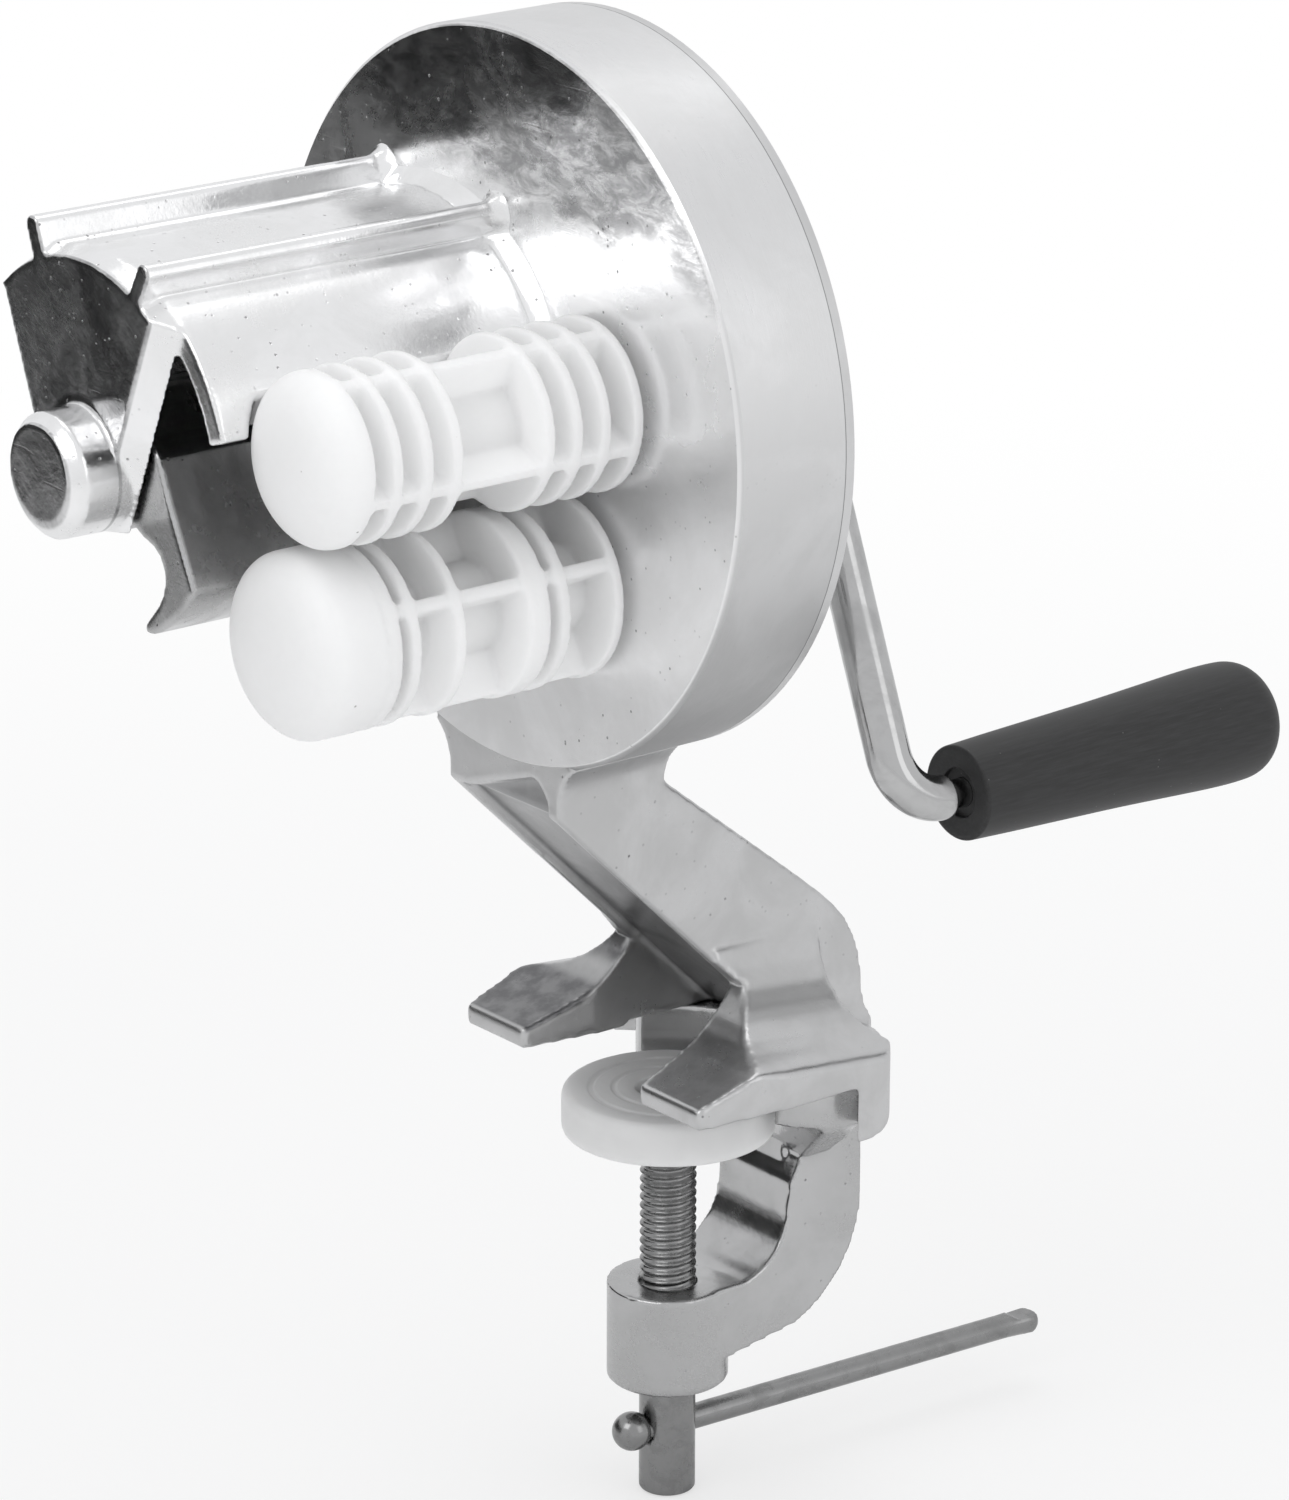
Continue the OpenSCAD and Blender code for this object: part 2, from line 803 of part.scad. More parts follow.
// A moulded roller: discs along a core, four webs and a domed cap
module roller(turn, discs, disc_r, cap_len, cap_r) {
    y_in = case_front - roller_gap;
    y_out = y_in - roller_len;
    core_r = 9;
    dome = [for (i = [0:10]) let (a = 90 * i / 10)
        [cap_r * pow(sin(a), 0.95), dome_h * (1 - cos(a))]];
    color("white")
        difference() {
            union() {
                rod_y(y_out, roller_len, core_r);
                for (d = discs) rod_y(y_in - d - disc_t, disc_t, disc_r);
                rod_y(y_out, cap_len, cap_r);
                translate([0, y_out - dome_h, 0])
                    turn_y() polygon(concat(dome, [[cap_r, dome_h + eps],
                                                   [0, dome_h + eps]]));
                intersection() {
                    for (q = [0, 90])
                        rotate([0, turn + q, 0])
                            translate([-disc_r, y_out, -web_t / 2])
                                cube([2 * disc_r, roller_len, web_t]);
                    rod_y(y_out, roller_len, disc_r - 0.6);
                }
            }
            rod_y(shaft_end, 60, shaft_r);
        }
}

module upper_roller() {
    at_drive() roller(45 - 24, upper_discs, roller_r - 1.2, 1.6, roller_r - 1.4);
}

module lower_roller() {
    at_idler() roller(-28, lower_discs, roller_r, 8.2, roller_r);
}

// Collar that joins the crank rod to the drive shaft
module crank_collar() {
    color("silver")
        at_drive()
            difference() {
                rod_y(collar_y, collar_end - collar_y, 9);
                rod_y(collar_y - 1, rod_start - collar_y + 1, shaft_r);
                rod_y(rod_start - eps, 12, rod_r);
                for (y = [collar_y + 2.4, collar_end - 2.6])
                    translate([0, y, 0]) cylinder(h = 20, r = 1.6);
            }
}

module collar_screws() {
    color("dimgray")
        at_drive() {
            translate([0, collar_y + 2.4, shaft_r]) cylinder(h = 9.4 - shaft_r, r = 1.6);
            translate([0, collar_end - 2.6, rod_r]) cylinder(h = 9.4 - rod_r, r = 1.6);
        }
}

grip_tail = 7;

// Round rod, bent twice, with a thinner spindle for the grip
module crank_rod() {
    straight = crank_throw - bend_in - bend_out;
    color("silver")
        at_drive()
            rotate([0, crank_angle, 0]) {
                rod_y(rod_start, rod_plane - bend_in - rod_start, rod_r);
                translate([bend_in, rod_plane - bend_in, 0])
                    rotate([0, 0, 90])
                        rotate_extrude(angle = 90)
                            translate([bend_in, 0]) circle(r = rod_r, $fn = 48);
                translate([bend_in, rod_plane, 0])
                    rotate([0, 90, 0]) cylinder(h = straight, r = rod_r);
                translate([crank_throw - bend_out, spindle_y, 0])
                    rotate([0, 0, -90])
                        rotate_extrude(angle = 90)
                            translate([bend_out, 0]) circle(r = rod_r, $fn = 48);
                translate([crank_throw, 0, 0]) {
                    rod_y(spindle_y, 0.5, rod_r, rod_r - 0.5);
                    rod_y(spindle_y - 2, grip_len - grip_tail + 12, spindle_r);
                }
            }
}

module at_grip() {
    at_drive()
        rotate([0, crank_angle, 0])
            translate([crank_throw, 0, 0]) children();
}

// Tapered grip with a recess at each end
module crank_grip() {
    round_r = 5;
    y0 = grip_y;
    color([0.12, 0.12, 0.13])
        at_grip()
            translate([0, y0, 0])
                turn_y()
                    polygon(concat([[5, 0], [grip_r1 - 0.4, 0], [grip_r1, 0.4]],
                                   arc(grip_r2 - round_r, grip_len - round_r, round_r, 0, 80, 6),
                                   [[7.6, grip_len], [7.6, grip_len - grip_tail],
                                    [spindle_r + run_gap, grip_len - grip_tail],
                                    [spindle_r + run_gap, 1.5], [5, 1.5]]));
}

module grip_washer() {
    color("silver")
        at_grip()
            difference() {
                rod_y(grip_y + grip_len - grip_tail + 0.3, 1.2, 7.2);
                rod_y(grip_y + grip_len - grip_tail - 1, 4, spindle_r);
            }
}

module grip_nut() {
    nut_y = grip_y + grip_len - grip_tail + 1.5;
    color("silver")
        at_grip()
            difference() {
                translate([0, nut_y, 0])
                    rotate([-90, 0, 0]) cylinder(h = 4, r = 6.6, $fn = 6);
                rod_y(nut_y - 1, 6, spindle_r);
            }
}

// Pad that presses from below and swivels on the screw's tip
module clamp_pad() {
    round_r = 1.5;
    color("white")
        translate([0, 0, pad_bottom])
            rotate_extrude()
                polygon(concat([[swivel_r + run_gap, 0], [pad_r - round_r, 0]],
                               arc(pad_r - round_r, round_r, round_r, -90, 0, 4),
                               arc(pad_r - round_r, pad_t - round_r, round_r, 0, 90, 4),
                               [[0, pad_t], [0, pad_t - 2.5], [7, pad_t - 2.5],
                                [7, pad_t - 4.5], [swivel_r + run_gap, pad_t - 4.5]]));
}

module clamp_screw() {
    tip_top = pad_top - 2.9;
    color("gray")
        difference() {
            union() {
                translate([0, 0, screw_end + 0.6])
                    cylinder(h = pad_bottom - 0.3 - screw_end - 0.6, r = screw_r);
                translate([0, 0, screw_end])
                    cylinder(h = 0.6, r1 = screw_r - 0.6, r2 = screw_r);
                translate([0, 0, pad_bottom - 0.31])
                    cylinder(h = tip_top - pad_bottom + 0.31, r = swivel_r);
            }
            rotate([0, 0, -bar_yaw])
                translate([0, 0, bar_z]) {
                    rod_y(-20, 40, bar_r + run_gap);
                    translate([0, -ball_d, ball_up]) sphere(r = ball_r + 0.3);
                }
            // Groove for the clip
            translate([0, 0, pad_top - 4.2])
                difference() {
                    cylinder(h = 1, r = 6);
                    translate([0, 0, -1]) cylinder(h = 3, r = 3.2);
                }
        }
}

// Spring clip in the screw's groove that keeps the pad on
module pad_clip() {
    color("dimgray")
        translate([0, 0, pad_top - 4.2])
            difference() {
                cylinder(h = 1, r = 6);
                translate([0, 0, -1]) cylinder(h = 3, r = 3.2);
                translate([0, -1.6, -1]) cube([8, 3.2, 3]);
            }
}

// Sliding bar with a ball swaged a little off its axis at one end and a
// flattened, wider far end
module tommy_bar() {
    flat_len = 8;
    far = bar_len - ball_d;
    color("darkgray")
        translate([0, 0, bar_z])
            rotate([0, 0, -bar_yaw])
                difference() {
                    union() {
                        translate([0, -ball_d, ball_up]) sphere(r = ball_r);
                        turn_y()
                            polygon([[0, -ball_d], [bar_r, -ball_d],
                                     [bar_r, far - flat_len],
                                     [bar_r + 0.5, far - flat_len + 3],
                                     [bar_r + 0.5, far - 1], [bar_r - 0.4, far],
                                     [0, far]]);
                    }
                    for (z = [bar_r - 1.1, -bar_r - 3.8])
                        translate([-5, far - flat_len, z]) cube([10, flat_len + 1, 4]);
                }
}

gear_case();
forming_shell();
clamp_stand();
rear_cover();
cover_screws();
rotor_bush_inner();
rotor_bush_outer();
rotor_bush_rear();
drive_bush_front();
drive_bush_rear();
idler_bush_front();
idler_bush_rear();
c_bracket();
drive_shaft();
drive_gear();
drive_pin();
upper_roller();
crank_collar();
collar_screws();
crank_rod();
grip_washer();
grip_nut();
crank_grip();
idler_shaft();
idler_gear();
idler_pin();
lower_roller();
forming_rotor();
rotor_shaft();
rotor_gear();
rotor_pin();
clamp_pad();
clamp_screw();
pad_clip();
tommy_bar();
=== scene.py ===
"""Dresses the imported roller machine: cast aluminium body and clamp, white moulded rollers, black grip.

Sizes in this file are millimetres in the CAD frame: the clamp screw's axis is the Z axis, the table top
is Z 0, the rollers point along -Y and the crank is on the +Y side. Meshes are written in metres.
"""

import logging
import math
from dataclasses import dataclass
from enum import Enum
from typing import Sequence

import bpy
import numpy as np
from mathutils import Matrix, Vector


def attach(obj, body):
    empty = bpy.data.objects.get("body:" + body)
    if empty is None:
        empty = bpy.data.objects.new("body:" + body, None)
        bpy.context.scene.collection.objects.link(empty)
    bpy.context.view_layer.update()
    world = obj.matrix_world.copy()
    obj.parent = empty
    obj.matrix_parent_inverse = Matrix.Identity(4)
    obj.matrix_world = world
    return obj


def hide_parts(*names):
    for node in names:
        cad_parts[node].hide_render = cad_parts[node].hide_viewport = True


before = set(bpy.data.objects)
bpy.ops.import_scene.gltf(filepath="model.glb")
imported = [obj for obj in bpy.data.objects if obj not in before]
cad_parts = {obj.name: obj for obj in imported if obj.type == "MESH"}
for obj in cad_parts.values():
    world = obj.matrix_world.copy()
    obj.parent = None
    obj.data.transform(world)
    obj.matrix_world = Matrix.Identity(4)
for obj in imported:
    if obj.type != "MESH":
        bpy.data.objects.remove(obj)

MM = 0.001
TAU = 2 * math.pi
log = logging.getLogger("dressing")

# Height of the case's axis, Y of its front face and of the cover's joint line
CASE_Z = 148.5
CASE_FRONT = -43.5
COVER_Y = -17.3
# X and Z of the rotor's and the crank's axes
ROTOR = (-22.0, 145.0)
DRIVE = (31.061, 155.026)
# Turn of the tommy bar about the screw
BAR_YAW = math.radians(3.5)
# The arm's front at Z 0 and its slope, the Y of the neck's sunk face and of the prongs' tips
ARM_FRONT_Y = 22.85
ARM_SLOPE = 1.015
NECK_FLOOR_Y = -41.1
PRONG_TIP_Y = -23.5


class Axis(Enum):
    """The part's own direction that a turned piece is turned about."""

    Y = "y"
    Z = "z"


class Grain(Enum):
    """Direction of the fine lines that a finish leaves."""

    NONE = "none"
    ROUND_FACE = "rings on a turned face"
    UPRIGHT = "upright strokes"


# Surfaces


@dataclass
class Surface:
    """Points of a mesh in millimetres and its faces as index rows.

    Args:
        points: array of shape (n, 3).
        faces: array of shape (m, 4); a triangle repeats its last corner.
    """

    points: np.ndarray
    faces: np.ndarray

    def joined(self, other: "Surface") -> "Surface":
        """Both surfaces in one mesh."""
        return Surface(
            np.concatenate([self.points, other.points]),
            np.concatenate([self.faces, other.faces + len(self.points)]),
        )

    def moved(self, turn: np.ndarray, place: Sequence[float]) -> "Surface":
        """The surface turned by a 3x3 matrix, then shifted."""
        return Surface(self.points @ np.asarray(turn).T + np.asarray(place, float), self.faces)


def grid_faces(rows: int, cols: int, wrap: bool = True) -> np.ndarray:
    """Quads of a grid of points.

    Face (i, j) joins point (i, j) to its neighbours (i, j+1), (i+1, j+1) and (i+1, j).

    Args:
        rows: number of rows of points.
        cols: number of points in a row.
        wrap: True joins each row's last point to its first.

    Returns:
        Index rows of shape (faces, 4).
    """
    i = np.arange(rows - 1)[:, None]
    j = np.arange(cols if wrap else cols - 1)[None, :]
    k = (j + 1) % cols
    quads = np.stack([i * cols + j, i * cols + k, (i + 1) * cols + k, (i + 1) * cols + j], axis=-1)
    return quads.reshape(-1, 4)


def ring_surface(rings: np.ndarray) -> Surface:
    """A closed surface from rings of points, each end drawn in to its own middle.

    Ring i is row i of the grid. The first and last rings are closed by a fan to their mean point.

    Args:
        rings: array of shape (rows, cols, 3), counter-clockwise seen against the direction of travel.

    Returns:
        The closed surface.
    """
    rows, cols, _ = rings.shape
    points = np.concatenate([rings.reshape(-1, 3), rings[0].mean(0)[None], rings[-1].mean(0)[None]])
    first, last = rows * cols, rows * cols + 1
    j = np.arange(cols)
    k = (j + 1) % cols
    near = np.stack([k, j, np.full(cols, first), np.full(cols, first)], axis=-1)
    base = (rows - 1) * cols
    far = np.stack([base + j, base + k, np.full(cols, last), np.full(cols, last)], axis=-1)
    return Surface(points, np.concatenate([grid_faces(rows, cols), near, far]))


def rounded_profile(corners: Sequence[tuple[float, float, float]], steps: int = 5) -> np.ndarray:
    """A profile whose corners are rounded.

    Each corner (along, radius, round) gives a curve P(t) = (1-t)^2 A + 2t(1-t) B + t^2 C, where B is the
    corner and A and C lie at distance round from it towards its neighbours.

    Args:
        corners: places along the axis, radii and corner sizes.
        steps: points in each rounded corner less one.

    Returns:
        Array of shape (n, 2) with place along the axis and radius.
    """
    c = np.array(corners, float)
    p, size = c[:, :2], c[:, 2]
    before = np.roll(p, 1, axis=0) - p
    after = np.roll(p, -1, axis=0) - p
    before[0], after[-1] = 0, 0
    reach_b = np.linalg.norm(before, axis=1)
    reach_a = np.linalg.norm(after, axis=1)
    cut_b = np.minimum(size, reach_b * 0.5) / np.maximum(reach_b, 1e-9)
    cut_a = np.minimum(size, reach_a * 0.5) / np.maximum(reach_a, 1e-9)
    a = p + before * cut_b[:, None]
    b = p + after * cut_a[:, None]
    t = np.linspace(0, 1, steps + 1)[None, :, None]
    curve = (1 - t) ** 2 * a[:, None] + 2 * t * (1 - t) * p[:, None] + t**2 * b[:, None]
    flat = curve.reshape(-1, 2)
    keep = np.ones(len(flat), bool)
    keep[1:] = np.linalg.norm(np.diff(flat, axis=0), axis=1) > 1e-4
    return flat[keep]


def turned_rings(profile: np.ndarray, axis: Axis, at: tuple[float, float], cols: int) -> np.ndarray:
    """The rings of points of a profile turned about a line along Y or Z.

    Point (i, j) is at place along_i, at radius_i from the line, at angle 2 pi j / cols.

    Args:
        profile: array of (place along the axis, radius).
        axis: the direction of the line.
        at: where the line is, (x, z) for Y and (x, y) for Z.
        cols: points around.

    Returns:
        Array of shape (rows, cols, 3).
    """
    a = np.arange(cols) * TAU / cols
    along, radius = profile[:, 0][:, None], profile[:, 1][:, None]
    u, v, w = radius * np.cos(a), radius * np.sin(a), along + 0 * a
    if axis is Axis.Z:
        return np.stack([at[0] + u, at[1] + v, w], axis=-1)
    return np.stack([at[0] + v, w, at[1] + u], axis=-1)


def turned(profile: np.ndarray, axis: Axis, at: tuple[float, float], cols: int = 96) -> Surface:
    """A solid turned from a profile that goes up the axis, closed at both ends."""
    return ring_surface(turned_rings(profile, axis, at, cols))


def turned_band(profile: np.ndarray, axis: Axis, at: tuple[float, float], cols: int) -> Surface:
    """A solid with a bore, turned from a profile whose last point joins its first.

    Args:
        profile: array of (place along the axis, radius), going up the axis on the outside.
        axis: the direction of the line.
        at: where the line is, (x, z) for Y and (x, y) for Z.
        cols: points around.

    Returns:
        The closed surface.
    """
    points = turned_rings(profile, axis, at, cols).reshape(-1, 3)
    return Surface(points, grid_faces(len(profile) + 1, cols) % len(points))


def sector_bar(
    centre: tuple[float, float],
    radii: tuple[float, float],
    reach: tuple[float, float],
    span: tuple[float, float],
) -> Surface:
    """A bar bent round a line along Y.

    Point (i, j) is at angle a_i between the span's ends, on corner j of a rectangle of radius and Y.

    Args:
        centre: X and Z of the line.
        radii: inner and outer radius.
        reach: lowest and highest Y.
        span: angles of the bar's ends from +X towards +Z, in degrees.

    Returns:
        The closed surface.
    """
    a = np.radians(np.linspace(*span, 60))[:, None]
    r = np.array([radii[0], radii[0], radii[1], radii[1]])[None]
    y = np.array([reach[0], reach[1], reach[1], reach[0]])[None]
    rings = np.stack([centre[0] + r * np.cos(a), y + 0 * a, centre[1] + r * np.sin(a)], axis=-1)
    return ring_surface(rings[:, ::-1])


def swept(path: np.ndarray, radius: np.ndarray, cols: int = 48) -> Surface:
    """A round tube along a path.

    Point (i, j) is path_i + radius_i (cos a_j N_i + sin a_j B_i). The frame N, B is found from a fixed
    side vector, so the tube doesn't twist while the path stays in one plane.

    Args:
        path: array of shape (n, 3).
        radius: array of shape (n,).
        cols: points around.

    Returns:
        The closed surface.
    """
    tangent = np.gradient(path, axis=0)
    tangent /= np.linalg.norm(tangent, axis=1)[:, None]
    spread = np.linalg.svd(path - path.mean(0))[2][-1]
    n = np.cross(tangent, spread)
    n /= np.linalg.norm(n, axis=1)[:, None]
    b = np.cross(tangent, n)
    a = (np.arange(cols) * TAU / cols)[None, :, None]
    rings = path[:, None] + radius[:, None, None] * (np.cos(a) * n[:, None] + np.sin(a) * b[:, None])
    return ring_surface(rings)


def write_mesh(name: str, shape: Surface, smooth: bool = True) -> bpy.types.Object:
    """Puts a surface into a new object at the origin.

    Args:
        name: the piece's name.
        shape: points in millimetres.
        smooth: True shades it smooth, apart from edges over 40 degrees.

    Returns:
        The new object, linked to the scene.
    """
    mesh = bpy.data.meshes.new(name)
    tri = shape.faces[:, 2] == shape.faces[:, 3]
    sizes = np.where(tri, 3, 4)
    fourth = np.zeros(shape.faces.shape, bool)
    fourth[:, 3] = tri
    corners = shape.faces[~fourth]
    starts = np.concatenate([[0], np.cumsum(sizes)[:-1]])
    mesh.vertices.add(len(shape.points))
    mesh.vertices.foreach_set("co", (shape.points * MM).astype(np.float32).ravel())
    mesh.loops.add(len(corners))
    mesh.loops.foreach_set("vertex_index", corners.astype(np.int32))
    mesh.polygons.add(len(sizes))
    mesh.polygons.foreach_set("loop_start", starts.astype(np.int32))
    mesh.update(calc_edges=True)
    mesh.validate()
    made = bpy.data.objects.new(name, mesh)
    bpy.context.scene.collection.objects.link(made)
    if smooth:
        mesh.shade_smooth()
        mesh.set_sharp_from_angle(angle=math.radians(40))
    return made


def node_surface(node: str) -> Surface:
    """A CAD node's own faces as a merged surface in millimetres, read from its mesh."""
    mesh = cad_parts[node].data
    co = np.empty(len(mesh.vertices) * 3)
    mesh.vertices.foreach_get("co", co)
    mesh.calc_loop_triangles()
    tri = np.empty(len(mesh.loop_triangles) * 3, np.int32)
    mesh.loop_triangles.foreach_get("vertices", tri)
    key, back = np.unique(np.round(co.reshape(-1, 3) / 1e-7).astype(np.int64), axis=0, return_inverse=True)
    tri = back.ravel()[tri].reshape(-1, 3)
    tri = tri[(tri[:, 0] != tri[:, 1]) & (tri[:, 1] != tri[:, 2]) & (tri[:, 0] != tri[:, 2])]
    return Surface(key * 1e-4, np.concatenate([tri, tri[:, 2:]], axis=1))


@dataclass(frozen=True)
class Casting:
    """Soft edges and fillets of a cast or moulded piece.

    The solid is sampled on cells of one size and its surface read back, which closes all seams between
    its forms. Then each point moves towards the mean of its neighbours and back by a little more, in
    turns, so that edges and inner corners go round while the walls keep their thickness.

    Args:
        cell: size of a cell.
        rounds: number of turns; more of them give rounder edges.
        keep: share of each step that is taken back.
    """

    cell: float = 0.8
    rounds: int = 8
    keep: float = 1.03

    def made(self, name: str, shape: Surface) -> bpy.types.Object:
        """The soft piece.

        Args:
            name: the piece's name.
            shape: the closed forms that it is made of; they may overlap.

        Returns:
            The new object.
        """
        rough = write_mesh(name + "_rough", shape, smooth=False)
        cells = rough.modifiers.new("cells", "REMESH")
        cells.mode = "VOXEL"
        cells.voxel_size = self.cell * MM
        cells.adaptivity = 0
        done = rough.evaluated_get(bpy.context.evaluated_depsgraph_get())
        mesh = bpy.data.meshes.new_from_object(done)
        bpy.data.objects.remove(rough)
        mesh.name = name
        co = np.empty(len(mesh.vertices) * 3)
        mesh.vertices.foreach_get("co", co)
        co = co.reshape(-1, 3)
        edges = np.empty(len(mesh.edges) * 2, np.int32)
        mesh.edges.foreach_get("vertices", edges)
        a, b = edges[0::2], edges[1::2]
        count = np.bincount(edges, minlength=len(co))[:, None].clip(1)
        for step in (0.5, -0.5 * self.keep) * self.rounds:
            total = np.stack(
                [
                    np.bincount(a, co[b, k], len(co)) + np.bincount(b, co[a, k], len(co))
                    for k in range(3)
                ],
                axis=1,
            )
            co = co + step * (total / count - co)
        mesh.vertices.foreach_set("co", co.astype(np.float32).ravel())
        mesh.update()
        mesh.shade_smooth()
        made = bpy.data.objects.new(name, mesh)
        bpy.context.scene.collection.objects.link(made)
        return made


def adopt(piece: bpy.types.Object, body: str, slot: str, finish: "Finish", *nodes: str) -> None:
    """Ties a piece to its body and its material, and hides the CAD nodes that it stands for.

    Args:
        piece: the new object.
        body: the CAD body that it rides on.
        slot: the record's material slot; not used.
        finish: the material to put on it.
        nodes: CAD nodes that it replaces.
    """
    piece.data.materials.clear()
    piece.data.materials.append(finish.material())
    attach(piece, body)
    if nodes:
        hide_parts(*nodes)
    log.info("%s: %d faces, for %s", piece.name, len(piece.data.polygons), ", ".join(nodes) or "no node")


def dress(node: str, finish: "Finish") -> None:
    """Puts a finish on a CAD node that stays."""
    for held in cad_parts[node].material_slots:
        held.material = finish.material()
    log.info("%s keeps its CAD shape", node)


# Shader maths


@dataclass
class Value:
    """A socket of a shader tree that takes part in Python arithmetic.

    Args:
        paint: the material it belongs to.
        socket: the output socket.
    """

    paint: "Paint"
    socket: bpy.types.NodeSocket

    def _math(self, how: str, *terms: "Value | float") -> "Value":
        """One Math node with these terms."""
        return self.paint.node("ShaderNodeMath", {"operation": how}, dict(enumerate(terms)))

    def __add__(self, other: "Value | float") -> "Value":
        """Sum."""
        return self._math("ADD", self, other)

    def __radd__(self, other: float) -> "Value":
        """Sum with a number first."""
        return self._math("ADD", other, self)

    def __sub__(self, other: "Value | float") -> "Value":
        """Difference."""
        return self._math("SUBTRACT", self, other)

    def __rsub__(self, other: float) -> "Value":
        """Difference with a number first."""
        return self._math("SUBTRACT", other, self)

    def __mul__(self, other: "Value | float") -> "Value":
        """Product."""
        return self._math("MULTIPLY", self, other)

    def __rmul__(self, other: float) -> "Value":
        """Product with a number first."""
        return self._math("MULTIPLY", other, self)

    def least(self, other: "Value | float") -> "Value":
        """The smaller of the two."""
        return self._math("MINIMUM", self, other)

    def most(self, other: "Value | float") -> "Value":
        """The larger of the two."""
        return self._math("MAXIMUM", self, other)

    def root(self) -> "Value":
        """Square root."""
        return self._math("SQRT", self)

    def angle(self, other: "Value") -> "Value":
        """Angle of the point (other, self), in radians."""
        return self._math("ARCTAN2", self, other)

    def size(self) -> "Value":
        """Value without its sign."""
        return self._math("ABSOLUTE", self)

    def ramp(self, low: float, high: float, to_low: float = 0.0, to_high: float = 1.0) -> "Value":
        """A soft step.

        Args:
            low: value at which the step starts.
            high: value at which it ends.
            to_low: result below the step.
            to_high: result above it.

        Returns:
            The stepped value.
        """
        return self.paint.node(
            "ShaderNodeMapRange",
            {"interpolation_type": "SMOOTHSTEP"},
            {"Value": self, "From Min": low, "From Max": high, "To Min": to_low, "To Max": to_high},
        )


class Paint:
    """A material's node tree, with one method that adds any node."""

    def __init__(self, name: str) -> None:
        """Starts an empty material.

        Args:
            name: the material's name.
        """
        self.held = bpy.data.materials.new(name)
        self.held.use_nodes = True
        self.tree = self.held.node_tree
        self.tree.nodes.clear()
        self.out = self.tree.nodes.new("ShaderNodeOutputMaterial")

    def node(
        self, kind: str, settings: dict | None = None, inputs: dict | None = None, out: int | str = 0
    ) -> Value:
        """Adds a node.

        Args:
            kind: the node's type.
            settings: its own settings, such as a Math node's operation; set first.
            inputs: socket names or numbers with the numbers, vectors or Values that go in.
            out: the output to return.

        Returns:
            That output as a Value.
        """
        made = self.tree.nodes.new(kind)
        for key, value in (settings or {}).items():
            setattr(made, key, value)
        for key, value in (inputs or {}).items():
            if isinstance(value, Value):
                self.tree.links.new(value.socket, made.inputs[key])
            else:
                made.inputs[key].default_value = value
        return Value(self, made.outputs[out])

    def place(self) -> Value:
        """Object coordinates in millimetres."""
        raw = self.node("ShaderNodeTexCoord", out="Object")
        return self.node("ShaderNodeVectorMath", {"operation": "SCALE"}, {0: raw, "Scale": 1000.0})

    def parts(self, vector: Value) -> tuple[Value, Value, Value]:
        """The three numbers of a vector."""
        split = self.node("ShaderNodeSeparateXYZ", None, {0: vector})
        outs = split.socket.node.outputs
        return Value(self, outs[0]), Value(self, outs[1]), Value(self, outs[2])

    def joined(self, x: Value | float, y: Value | float, z: Value | float) -> Value:
        """A vector from three numbers."""
        return self.node("ShaderNodeCombineXYZ", None, {0: x, 1: y, 2: z})

    def moved(self, vector: Value, shift: Sequence[float], scale: Sequence[float]) -> Value:
        """A vector times a scale, plus a shift."""
        terms = {"Vector": vector, "Location": tuple(shift), "Scale": tuple(scale)}
        return self.node("ShaderNodeMapping", None, terms)

    def noise(
        self, vector: Value, size: float, detail: float = 3.0, rough: float = 0.5, warp: float = 0.0
    ) -> Value:
        """Cloudy noise.

        Args:
            vector: where, in millimetres.
            size: size of its largest forms, in millimetres.
            detail: number of finer layers.
            rough: strength of the finer layers.
            warp: how far the noise bends itself.

        Returns:
            The noise, about 0.5 on average.
        """
        return self.node(
            "ShaderNodeTexNoise",
            None,
            {"Vector": vector, "Scale": 1 / size, "Detail": detail, "Roughness": rough, "Distortion": warp},
        )

    def cells(self, vector: Value, size: float) -> tuple[Value, Value]:
        """Distance to the nearest of scattered points, in cells, and a random number for each point."""
        near = self.node("ShaderNodeTexVoronoi", None, {"Vector": vector, "Scale": 1 / size})
        tint = Value(self, near.socket.node.outputs["Color"])
        return near, self.parts(tint)[0]

    def tinted(self, colour: Value | Sequence[float], share: Value, to: Sequence[float]) -> Value:
        """A colour drawn towards another one by a share."""
        start = colour if isinstance(colour, Value) else (*colour, 1.0)
        kind = {"data_type": "RGBA", "clamp_factor": True}
        return self.node("ShaderNodeMix", kind, {0: share, 6: start, 7: (*to, 1.0)}, out=2)

    def bump(self, height: Value, base: Value | None = None, strength: float = 1.0) -> Value:
        """A normal from a height in millimetres."""
        inputs: dict = {"Height": height, "Distance": MM, "Strength": strength}
        if base is not None:
            inputs["Normal"] = base
        return self.node("ShaderNodeBump", None, inputs)

    def finished(self, links: dict, fixed: dict) -> bpy.types.Material:
        """Ends the material with a Principled shader.

        Args:
            links: sockets that change over the surface.
            fixed: sockets that are the same all over.

        Returns:
            The material.
        """
        made = self.node("ShaderNodeBsdfPrincipled", None, {**fixed, **links})
        self.tree.links.new(made.socket, self.out.inputs["Surface"])
        return self.held


# Finishes


@dataclass(frozen=True)
class Finish:
    """A material. Each kind of finish fills in paint()."""

    name: str

    def paint(self, p: Paint) -> bpy.types.Material:
        """Fills the material's nodes."""
        raise NotImplementedError

    def material(self) -> bpy.types.Material:
        """The material, made once for each name."""
        held = bpy.data.materials.get(self.name)
        return held or self.paint(Paint(self.name))


